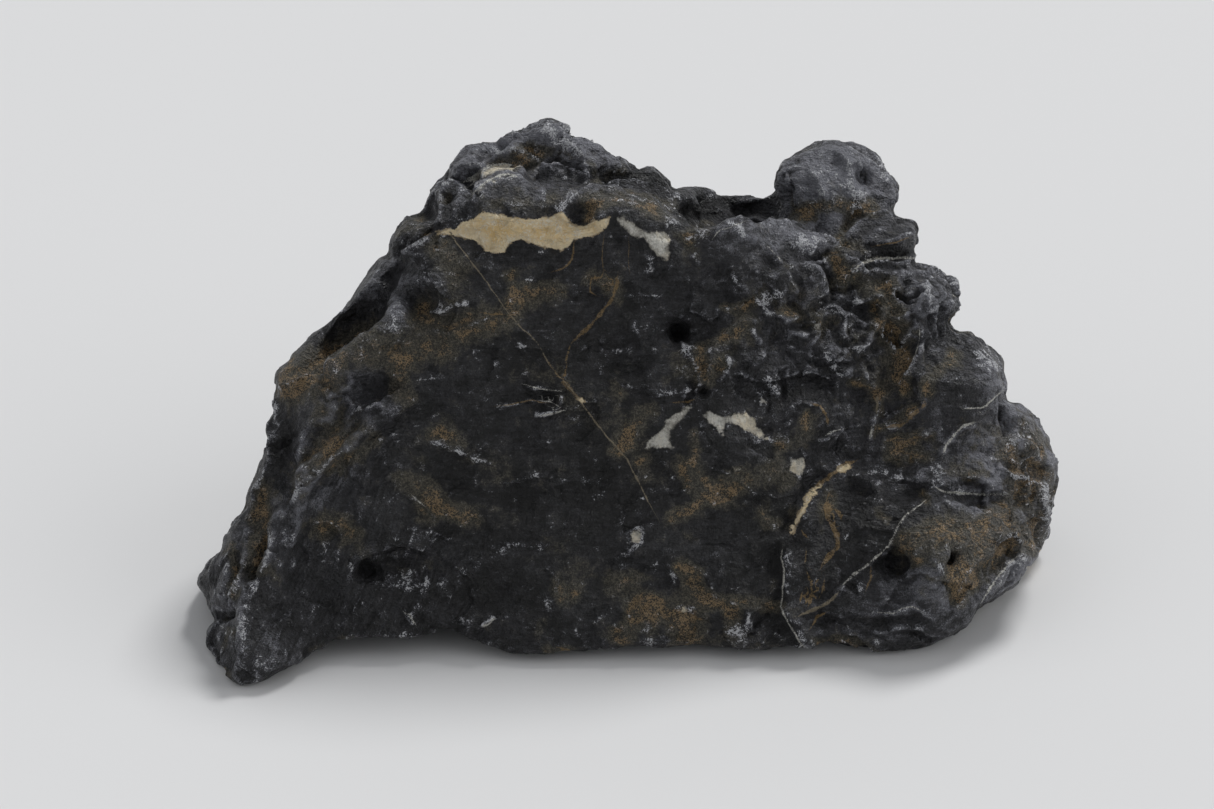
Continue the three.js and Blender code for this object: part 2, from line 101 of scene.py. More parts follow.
class Noise:
    """Repeatable natural patterns in space, all worked out from one shuffled table."""

    # Brings the waves, which seldom pass 0.6 by themselves, to about -1 to 1.
    GAIN = 1.6
    # Sets each layer of waves apart from the next, so that their zeros don't coincide.
    LAYER_SHIFT = 17.3
    # Further away than any seed of a cell can be.
    FAR = 9.0

    def __init__(self, seed: int) -> None:
        """Shuffles the table.

        Args:
            seed: Any number; the same one gives the same patterns.
        """
        random = np.random.default_rng(seed)
        self.table = random.permutation(256)
        directions = random.normal(size=(256, 3))
        self.directions = directions / np.linalg.norm(directions, axis=1, keepdims=True)
        self.chances = random.random((256, 4))

    def pick(self, cells: Array) -> Array:
        """Looks up cells of space in the table.

        Args:
            cells: Whole numbers, one row for each cell.

        Returns:
            The table's entry for each.
        """
        first = self.table[cells[:, 0] & 255]
        second = self.table[(first + cells[:, 1]) & 255]
        return self.table[(second + cells[:, 2]) & 255]

    def waves(self, points: Array) -> Array:
        """Rounded rises and dips about one unit across.

        Args:
            points: Places in units of the wavelength, one row each.

        Returns:
            Heights of about -1 to 1.
        """
        cells = np.floor(points).astype(np.int64)
        within = points - cells
        ease = within**3 * (within * (within * 6 - 15) + 10)
        total = np.zeros(len(points))
        for corner in np.ndindex(2, 2, 2):
            step = np.array(corner)
            weight = np.prod(np.where(step, ease, 1 - ease), axis=1)
            slope = self.directions[self.pick(cells + step)]
            total += weight * np.einsum("ij,ij->i", slope, within - step)
        return total * self.GAIN

    def layers(self, points: Array, octaves: int) -> Array:
        """Waves with finer ones laid over them, each half as long and half as high."""
        return sum(self.waves(points * 2**k + self.LAYER_SHIFT * k) / 2**k for k in range(octaves))

    def crests(self, points: Array, octaves: int, level: float, steepness: float) -> Array:
        """Rounded dips with sharp crests between them.

        Args:
            points: Places in units of the crests' spacing, one row each.
            octaves: How many layers of waves they are made of.
            level: How high the crests stand.
            steepness: How steeply they fall away.

        Returns:
            One height for each point.
        """
        return level - np.abs(self.layers(points, octaves)) * steepness

    def cells(self, points: Array) -> tuple[Array, Array, Array, Array]:
        """Shares space out among scattered seeds.

        Args:
            points: Places in units of the seeds' spacing, one row each.

        Returns:
            Distances to the nearest and second nearest seed, steps from the nearest one, and four
            chances of 0 to 1 that belong to its cell.
        """
        home = np.floor(points).astype(np.int64)
        nearest = np.full(len(points), self.FAR)
        second = np.full(len(points), self.FAR)
        steps = np.zeros_like(points)
        found = np.zeros(len(points), dtype=np.int64)
        for offset in np.ndindex(3, 3, 3):
            cell = home + np.array(offset) - 1
            entry = self.pick(cell)
            away = points - cell - self.chances[entry, :3]
            distance = np.sqrt(np.einsum("ij,ij->i", away, away))
            closer = distance < nearest
            second = np.where(closer, nearest, np.minimum(second, distance))
            nearest = np.where(closer, distance, nearest)
            steps[closer] = away[closer]
            found[closer] = entry[closer]
        return nearest, second, steps, self.chances[self.table[found]]


@dataclass(frozen=True)
class Waver:
    """Moves places to and fro, so that what is laid out on them looks grown and not ruled.

    Attributes:
        reach: How far it moves them, in millimetres.
        waves: The length of each wave in millimetres, and its share of the reach.
        starts: Where in the pattern each coordinate's waves start, to tell them apart.
    """

    reach: float
    waves: Points
    starts: tuple[int, ...]

    def moves(self, noise: Noise, points: Array) -> Array:
        """Works out how far to move places.

        Args:
            noise: The pattern to use.
            points: The places, in millimetres.

        Returns:
            One row of moves for each, in millimetres.
        """
        columns = [
            sum(share * noise.waves(points / length + start) for length, share in self.waves)
            for start in self.starts
        ]
        return self.reach * np.stack(columns, axis=1)


# For the natural weathering, the forms worked into it, the marks, the stains and the veins' torn edges.
WEATHERED_FORMS = Waver(2.6, ((11, 1.0),), (0, 31, 62))
CARVED_FORMS = Waver(0.8, ((6.5, 1.0),), (3, 53))
MARKS = Waver(0.4, ((4.5, 1.0), (2.1, 0.6)), (7, 71))
STAINS = Waver(2.2, ((9, 1.0), (4, 0.5)), (11, 37))
TORN_VEINS = Waver(0.6, ((2.4, 1.0),), (19, 83))


@dataclass(frozen=True)
class FaceFrame:
    """The broad face's own axes, in millimetres: u right along it, v up it, w square out of it.

    Features of the face are placed on a flat sheet in front of it, where what lies further out counts
    as larger, as it does to an eye at a distance of eye_distance.

    Attributes:
        lean: How far the face leans back from upright, in degrees.
        origin: The middle of the face's axes in the object's own, in millimetres.
        eye_distance: How far the eye is from that middle, in millimetres.
    """

    lean: float = 27.0
    origin: tuple[float, float, float] = (-9.421, 10.635, 54.5)
    eye_distance: float = 930.0

    def axes(self) -> Array:
        """Rows u, v and w in the object's axes."""
        sine, cosine = math.sin(math.radians(self.lean)), math.cos(math.radians(self.lean))
        return np.array([[1, 0, 0], [0, sine, cosine], [0, -cosine, sine]])

    def place(self, points: Array) -> Array:
        """Turns points of the object, one row each, to u, v and w."""
        return (points - np.array(self.origin)) @ self.axes().T

    def sheet(self, places: Array) -> Array:
        """Turns u, v and w to the two coordinates on the flat sheet."""
        return places[:, :2] * (self.eye_distance / (self.eye_distance - places[:, 2:3]))


class Profile(Enum):
    """The cross-section of a line that is worked into the surface."""

    RIDGE = "ridge"
    GROOVE = "groove"
    LEDGE = "ledge"


RIDGE, GROOVE, LEDGE = Profile
# A ledge's step, and how far its top and foot reach before they fade: shares of its half width.
LEDGE_STEP = 0.35
LEDGE_REACH = 2.2
# How much sharper than a plain slope a ridge's crest or a groove's bottom is.
CREST_POWER = 1.4
# Where across a line knocks land, as a share of its half width, and how wide their mark is, in millimetres.
BRUISED_AT = {RIDGE: 0.0, LEDGE: 0.4, GROOVE: 1.2}
BRUISE_WIDTH = 0.6
# How strong the mark is: beside a groove, for each millimetre that a form stands out, and at most.
GROOVE_BRUISE = 0.05
BRUISE_BY_HEIGHT = 0.13
MOST_BRUISE = 0.34


@dataclass(frozen=True)
class Line:
    """A line on the face: a form worked into it, or a thread of colour.

    Attributes:
        points: Its route on the flat sheet.
        width: Half its width, in millimetres.
        amount: Its height in millimetres as a form, or its strength as a colour, where 1 is usual.
        profile: Its cross-section as a form. A ledge stands up on the left of its direction.
        tail: Over which share of its length it fades out at each end; never nothing.
    """

    points: Points
    width: float
    amount: float = 1.0
    profile: Profile = RIDGE
    tail: float = 0.15

    def measure(self, sheet: Array) -> tuple[Array, Array]:
        """Measures where places on the sheet lie from the line.

        Args:
            sheet: Places on the flat sheet, one row each.

        Returns:
            Distance from the line, positive on its left, and how far along it, from 0 to 1.
        """
        route = np.array(self.points, dtype=float)
        lengths = np.linalg.norm(np.diff(route, axis=0), axis=1)
        starts = np.concatenate([[0], np.cumsum(lengths)])
        best = np.full(len(sheet), np.inf)
        along = np.zeros(len(sheet))
        for start, end, length, before in zip(route[:-1], route[1:], lengths, starts[:-1]):
            step = end - start
            share = np.clip((sheet - start) @ step / length**2, 0, 1)
            away = sheet - start - share[:, None] * step
            distance = np.hypot(away[:, 0], away[:, 1])
            side = np.where(step[0] * away[:, 1] - step[1] * away[:, 0] < 0, -1.0, 1.0)
            closer = distance < np.abs(best)
            best = np.where(closer, side * distance, best)
            along = np.where(closer, (before + share * length) / starts[-1], along)
        return best, along

    def share(self, sheet: Array) -> Array:
        """The line's strength as a stain at places on the sheet, which fades to its sides."""
        return self.amount * np.exp(-((self.measure(sheet)[0] / self.width) ** 2))

    def ends(self, along: Array) -> Array:
        """How strong the line is at shares of its length."""
        return smooth_step(0, self.tail, np.minimum(along, 1 - along))

    def height(self, sheet: Array) -> Array:
        """Works out the form's height over the surface.

        Args:
            sheet: Places on the flat sheet.

        Returns:
            One height for each, in millimetres.
        """
        across, along = self.measure(sheet)
        if self.profile is LEDGE:
            fade = np.exp(-((across / (LEDGE_REACH * self.width)) ** 2))
            step = np.tanh(across / (LEDGE_STEP * self.width)) * fade
            return 0.5 * self.amount * step * self.ends(along)
        crest = np.clip(1 - np.abs(across) / self.width, 0, 1) ** CREST_POWER
        sign = -1 if self.profile is GROOVE else 1
        return sign * self.amount * crest * self.ends(along)

    def bruise(self, sheet: Array) -> Array:
        """Works out how far knocks have whitened the form's crest.

        Args:
            sheet: Places on the flat sheet.

        Returns:
            One strength for each, from 0 to 1.
        """
        across, along = self.measure(sheet)
        away = (across - BRUISED_AT[self.profile] * self.width) / BRUISE_WIDTH
        strength = min(BRUISE_BY_HEIGHT * self.amount, MOST_BRUISE)
        if self.profile is GROOVE:
            strength = GROOVE_BRUISE
        return strength * np.exp(-(away**2)) * self.ends(along)


@dataclass(frozen=True)
class Spot:
    """An oval on the face: a pit, a boss or a stain.

    Attributes:
        at: Its middle on the flat sheet.
        half: Its half sizes in millimetres.
        amount: Its depth in millimetres, negative for a boss, or its strength, where 1 is usual.
        turn: How far it is turned, in degrees anticlockwise.
        power: 2 for a soft bowl, more for steep walls.
        rim: Whether it bites into the stone's rim, out of the face's sight.
    """

    at: tuple[float, float]
    half: tuple[float, float]
    amount: float = 1.0
    turn: float = 0.0
    power: float = 2.0
    rim: bool = False

    def reach(self, sheet: Array) -> Array:
        """Works out how far from the oval's middle places are.

        Args:
            sheet: Places on the flat sheet.

        Returns:
            One distance for each, where 1 is on the oval's edge.
        """
        angle = math.radians(self.turn)
        away = sheet - np.array(self.at)
        first = (away[:, 0] * math.cos(angle) + away[:, 1] * math.sin(angle)) / self.half[0]
        second = (away[:, 1] * math.cos(angle) - away[:, 0] * math.sin(angle)) / self.half[1]
        return np.hypot(first, second)

    def share(self, sheet: Array) -> Array:
        """The spot's strength at places on the sheet, 1 in its middle and near 0 past its edge."""
        return np.exp(-(self.reach(sheet) ** self.power))


# A side of an outline that rises less than this counts as level, in millimetres.
LEVEL = 1e-9


@dataclass(frozen=True)
class Patch:
    """A filled outline on the face, such as a lens of calcite.

    Attributes:
        corners: The outline on the flat sheet.
    """

    corners: Points

    def distance(self, sheet: Array) -> Array:
        """Distance to the outline in millimetres, negative inside.

        Args:
            sheet: Places on the flat sheet, one row each.

        Returns:
            One distance for each place.
        """
        corners = np.array(self.corners, dtype=float)
        best = np.full(len(sheet), np.inf)
        inside = np.zeros(len(sheet), dtype=bool)
        for start, end in zip(corners, np.roll(corners, -1, axis=0)):
            step = end - start
            share = np.clip((sheet - start) @ step / (step @ step), 0, 1)
            away = sheet - start - share[:, None] * step
            best = np.minimum(best, np.hypot(away[:, 0], away[:, 1]))
            spans = (start[1] > sheet[:, 1]) != (end[1] > sheet[:, 1])
            rise = step[1] if abs(step[1]) > LEVEL else LEVEL
            left = sheet[:, 0] < (sheet[:, 1] - start[1]) * step[0] / rise + start[0]
            inside ^= spans & left
        return np.where(inside, -best, best)


# Forms of the face that are too fine for the solid: half widths and heights in millimetres.
FORMS = (
    # Layers behind the cap, its crest and the left column.
    Line(((-25, 77.5), (-27, 79.5), (-30, 81), (-35, 81.2), (-40, 80.7), (-42.5, 79.5), (-45, 77),
          (-50, 74.6)), 2.8, 3, LEDGE),
    Line(((-24, 76), (-29, 77), (-34, 78), (-37.5, 77.5), (-41, 75.5), (-44.5, 72.5), (-48, 68.5)),
          2.6, 2.2, LEDGE),
    Line(((-12, 75), (-4, 74.5), (2, 74), (9, 74.7), (14, 73), (19, 71.5), (21.4, 69), (22.4, 64)), 2.6, 2),
    Line(((-3, 76.6), (3, 76.4), (10, 76.6), (16, 75), (22, 72.6)), 2.6, 1.2, GROOVE),
    Line(((-15.5, 92.4), (-13, 89), (-10, 86.5), (-7.6, 84), (-7.4, 79), (-5, 76)), 2.2, 1.8),
    Line(((-58.4, 60), (-56.6, 65), (-55.2, 71), (-53, 76.6)), 2.2, 1.8),
    Line(((-56, 62), (-54, 67), (-53, 72)), 2.2, 0.9, GROOVE),
    Line(((-50.6, 62), (-51.4, 67), (-49, 72)), 2.2, 1.2),
    Line(((-40, 85), (-33, 86.6), (-27, 85)), 2.4, 1.4),
    Line(((-39, 88.6), (-32, 92), (-25, 95)), 2.4, 1.4, GROOVE),
    Line(((-25, 88), (-22, 92), (-19, 94)), 2, 1.2),
    # The lip of the hollow, the knob, the lens and the shoulder.
    Line(((36, 56.4), (38, 59), (43, 60.6), (46.5, 62.2), (50.6, 62.6), (55, 60.6), (58.5, 60.2), (64, 60.8)),
          3, 2),
    Line(((54.6, 53.6), (57.6, 50.4), (60, 47)), 1.8, 1.8),
    Line(((44, 61), (46, 57), (51, 54.6)), 2.2, 1.2),
    Line(((81, 56.5), (84, 60), (88, 63.4), (94, 64), (99, 63.4)), 2.2, 1.8),
    Line(((79, 60), (83, 63), (87, 66)), 2.4, 1.8, GROOVE),
    Line(((90, 53.6), (94, 54), (98, 55), (102.6, 56.8)), 1.8, 1.6),
    Line(((86, 51.4), (91, 51.4), (97, 51.4), (104.5, 51.6)), 2.4, 3, GROOVE, 0.05),
    Line(((82, 44), (86, 47.6), (91, 49.2), (98, 49), (105, 49)), 2, 1.4),
    Line(((80, 42), (84, 45), (90, 45.6), (97, 44.6), (103, 45.4)), 2.6, 1.2),
    Line(((76.8, 36), (75.6, 41), (74, 44), (72, 46.6), (69, 48.4)), 2.8, 3.2, LEDGE),
    Line(((61, 75), (60.4, 69), (63, 63.4)), 2.6, 1.8, GROOVE),
    Line(((68, 80), (72, 75), (74, 69)), 2.4),
    Line(((80, 86), (83, 80), (82, 74), (86, 69)), 2.4, 1.2),
    Line(((95, 80), (96.4, 73), (97, 67)), 2.2, 1.4),
    Line(((108.4, 27), (106.4, 22), (105.7, 17), (102.8, 11), (98, 6)), 2.4, 2.4),
    Line(((104, 45), (101, 37), (104, 30), (109, 27)), 2.6, 1.8, GROOVE),
    Line(((109, 44), (108, 37), (110, 31)), 2.6, 1.4),
    # Lumps and ridges of the rough upper right.
    Line(((73, 19.6), (74, 16), (76, 12.4), (79.6, 9.6), (84, 8), (88, 5.4), (92, 3)),
          3.4, 3.6, LEDGE),
    Line(((69.6, 32), (70.8, 27), (70, 23), (68, 19)), 2.2, 2.2),
    Line(((49, 38), (52, 34), (54, 31), (60, 28.6), (66, 29.6)), 2.4, 1.8),
    Line(((50, 30), (49.4, 24), (52, 19.4)), 2.2, 1.4),
    Line(((60.6, 26.6), (63, 24.2), (67, 23.4), (69.6, 25)), 1.6, 1.2),
    Line(((82, 36), (86, 34.8), (90, 36), (95, 37)), 2, 1.4),
    Line(((80, 20.6), (84, 18.6), (88, 20), (90, 25), (93, 27)), 2.2, 2),
    Line(((78, 34), (80, 29), (79, 24), (82, 20)), 2.2, 2),
    Line(((93, 26), (97, 22), (98, 16)), 2.2, 1.6),
    Line(((88, 16), (89.6, 10), (88, 5)), 2.2, 1.4, GROOVE),
    Line(((41.6, 17), (40.4, 12), (37.4, 7)), 2.6, 2),
    Line(((35, 20), (35.4, 14), (33.4, 9)), 2.2, 1.4),
    Line(((39, 24), (44, 27.6), (49, 30)), 2.2, 1.4),
    Line(((36, 31.6), (44, 33.4), (50, 35)), 1.8),
    Line(((53, 10.6), (55.4, 6), (58.6, 3)), 2.2, 1.6),
    Line(((58, 12), (60.6, 6), (60, 1)), 2.2, 1.4, GROOVE),
    Line(((42, 45), (44.6, 40.6), (49, 39)), 2, 1.2),
    Line(((60, 46), (64, 40), (66.6, 37)), 2, 1.2),
    Line(((28, 52), (33, 46), (32, 40)), 2.4),
    Line(((24, 18.6), (28.6, 17), (31, 12), (29, 7)), 2.2, 1.4),
    Line(((60, -1), (66, 0.6), (72, -0.5), (74.4, -4)), 1.8),
    Line(((70, -12.6), (75, -10.4), (80.4, -8)), 2, 1.6),
    Line(((88.4, -13), (90, -8), (92, -2), (92.6, 3)), 2.4, 2),
    # The ledge over the bulge, its net of holes and the bands of the right block.
    Line(((80, -24), (86, -26.4), (92, -28.4), (98, -28.6), (104, -28), (110.5, -27)),
          2.6, 2, LEDGE),
    Line(((108, -27), (117, -30), (124, -30.4), (137, -30.4)), 2.4, 1, LEDGE),
    Line(((120, -24.4), (124, -23.6), (129, -25), (131, -29)), 2, 1.4),
    Line(((133, -19), (136.6, -24.6), (141, -25), (144, -20), (143, -15), (138, -13), (134, -15)), 1.8, 1.6),
    Line(((108.4, 4), (107, -1), (103.5, -4), (100, -7), (93, -8)), 2.2, 1.4),
    Line(((112, -9), (106, -10.4), (98, -13)), 2.2, 1.2),
    Line(((113.4, -18.4), (115, -14), (118, -10), (121, -7), (126, -6)), 2, 1.2),
    Line(((134, 6), (135.4, 1), (135.6, -5), (138, -9)), 2.4, 2.4, GROOVE),
    Line(((138, -2), (141, -8), (146, -14)), 2.4, 1.4),
    Line(((150, -24), (147, -33), (148, -42)), 2.6, 1.6),
    Line(((146, -26), (143, -36), (143, -46), (137, -54)), 2.6, 1.4, GROOVE),
    Line(((141, -50), (136, -55), (131, -61), (126, -68)), 2.2, 1.6),
    # The bulge: its deep left side, and the curved bands under it.
    Line(((59, -46), (59, -52), (59.8, -58), (59.4, -64), (58.8, -70), (63, -76.6), (68, -84)),
          3, 2.8, LEDGE, 0.08),
    Line(((59, -44), (62, -38), (65, -32), (69, -26.6), (76, -22.4)), 3.4, 2, GROOVE, 0.1),
    Line(((64.4, -71.6), (70, -69.6), (75, -67), (80, -61.6), (87, -55.6), (95, -48.6), (98.4, -41),
          (108, -32)), 2),
    Line(((90, -70.6), (97, -71), (100, -69), (104, -68.6), (109, -71.4)), 1.8, 1.2),
    Line(((70, -73), (84, -73.6), (98, -73.4), (110, -72.6)), 2.8, 1.4, GROOVE),
    Line(((88, -78), (98, -75.8), (110, -75)), 1.8),
    Line(((70, -82), (80, -80), (87, -82.4), (97, -83.6)), 1.8, 1.2),
    Line(((103, -52), (109, -47), (116, -43.6)), 2.6, 1.2),
    Line(((118, -66), (123, -56), (132, -47), (140, -40)), 3, 1.2),
    # The foot and the edge that rises from it.
    Line(((-125, -95), (-124.4, -86.6), (-123, -76.4), (-122.7, -67), (-121, -63), (-117, -59)), 4, 3),
    Line(((-118, -60), (-114.4, -48), (-113.9, -40.5), (-112, -37.6), (-106.8, -34.7)), 3.2, 2.8),
    Line(((-107, -35), (-104, -28), (-103.4, -23.6), (-100.7, -20.8), (-94.6, -16.8)), 2.8, 2),
    Line(((-106, -57), (-107, -48), (-105, -38), (-103, -32)), 3, 1.4),
    Line(((-131, -90), (-130, -82), (-131, -76)), 3, 1.6),
    Line(((-134, -72), (-128.5, -71.7), (-125, -70)), 2.6, 3, GROOVE),
    Line(((-121.4, -61), (-121, -53), (-119, -46)), 3, 3.4, GROOVE),
    # The plate on the left and the rib above it.
    Line(((-129, -70), (-125, -62), (-122.5, -52), (-121.5, -42), (-120.5, -38)), 2.6, 2.2),
    Line(((-131, -76), (-130, -66), (-127.5, -56), (-126, -48)), 2, 1.6, GROOVE),
    Line(((-112.2, -2.5), (-113.2, -12), (-114.2, -18.8), (-117.6, -27.6), (-121, -36.4)), 2.4, 2.6),
    Line(((-112.6, 3), (-112, -3), (-111, -8)), 2.2, 1.4),
    # Ridges that climb from the flank on to the face.
    Line(((-105.4, -21), (-103.4, -16), (-100.7, -10), (-98.6, -7.3), (-93.9, -5.9), (-90.8, -1.2),
          (-89.8, 2)), 2.8, 3.8, LEDGE),
    Line(((-105.4, -32.4), (-93.9, -20.8), (-87, -16), (-82.4, -11.4), (-76.3, -5.9), (-70.2, -2.5),
          (-64, 0.5)), 3.2, 4.4, LEDGE),
    Line(((-99, -22), (-92, -15), (-86, -8), (-82, -3)), 2.2, 1.6, GROOVE),
    Line(((-100, -40), (-95, -39), (-91, -41), (-90, -46)), 2, 1.4),
    Line(((-60, -52), (-65, -51.2), (-72, -50.6), (-79, -52.4), (-84.6, -56)),
          2.2, 2.8, GROOVE, 0.25),
    # The scoop over the ochre ledge.
    Line(((-66, 50), (-68, 46), (-70, 42), (-71.4, 38), (-72.6, 34), (-75, 29.3), (-79, 26), (-83, 23),
          (-89, 18.5), (-93, 16), (-98, 15)), 4.4, 5, LEDGE),
    Line(((-74, 50.4), (-69, 54), (-62, 59), (-58, 61.6)), 2.6, 3, GROOVE),
    Line(((-70, 50), (-64, 54.5), (-60, 57)), 2.4, 1.6),
    Line(((-112, 4), (-104, 9), (-96, 11), (-88, 13)), 3.6, 1.8),
    Line(((-62, 26), (-54, 24), (-46, 27), (-38, 30)), 2.6, 1.4),
    Line(((-60, 30), (-52, 34), (-46, 34.6)), 2.2, 1.4),
    Line(((-96, 2), (-88, 6), (-86, 10)), 2.4, 1.4),
    Line(((-69.6, 7), (-71, 2), (-75.6, -1.4), (-83, -2.4)), 1.8, 1.6),
    # The hub on the broad face, and the low edges round it.
    Line(((-14.6, 4.4), (-15.4, 1), (-17, -1.6), (-20.6, -3.2), (-26, -4.4)), 2, 1.8),
    Line(((-29, 6.8), (-24, 5.6), (-18, 4.8), (-14.4, 4.6)), 1.6, 1.2),
    Line(((-38, -0.6), (-30, 0.6), (-25, 1.6), (-19, 0.6)), 1.8, 1.2),
    Line(((-28, 3), (-22, 2.8), (-17, 2.2)), 1.8, 1, GROOVE),
    Line(((-14, 7), (-8.5, 0.5), (-4, -6)), 1.6, 0.9),
    Line(((-21, 18), (-17, 15), (-16, 10)), 2.4, 1.2, GROOVE),
    Line(((2, 40), (-1.5, 31.5), (-9, 24), (-12, 20)), 1.8, 0.9),
    Line(((-34, 20), (-22, 19), (-16, 14)), 2.4, 0.8),
    Line(((8, 30), (12, 20), (20, 16)), 2.4, 0.8),
    Line(((0, 12), (6, 6), (14, 6), (20, 2)), 2.4),
    Line(((-62, -12), (-54, -14), (-44, -19), (-36, -20)), 2.4, 1.2),
    Line(((-66, -31), (-62, -34), (-58, -40)), 1.8),
    Line(((-40, -28), (-24, -24), (-8, -27), (6, -24)), 2.8, 0.9),
    Line(((-70, -42), (-60, -42.6), (-52, -46)), 2.2, 1.2),
    Line(((-36, -46), (-26, -48), (-18, -47)), 2.2, 0.9),
    Line(((-21, -54), (-16, -60), (-18, -66)), 2),
    Line(((10, -40), (12, -46), (6, -52)), 2, 1.2),
    Line(((20, -52), (23, -58), (21, -64)), 2),
    Line(((26, -52), (34, -58), (38, -68)), 2.4, 1.2),
    Line(((4, -80), (8, -72), (14, -64)), 2.2),
    Line(((40, -66), (47, -70), (50, -78)), 2.6, 1.4),
    Line(((57, -70), (52, -72), (48, -80)), 3, 2, GROOVE),
    Line(((-70, -69), (-66, -75)), 1.6),
    Line(((-43, -76), (-37, -72)), 1.6),
    Line(((-96, -80.4), (-84, -78.6), (-70, -78), (-56, -79), (-44, -81.6), (-38, -84)), 2.2, 0.9),
    Line(((32, -20), (42, -24), (50, -30), (58, -31)), 2.4, 1.2),
    Line(((12, -16), (20, -20), (24, -28)), 2.2, 0.9),
)

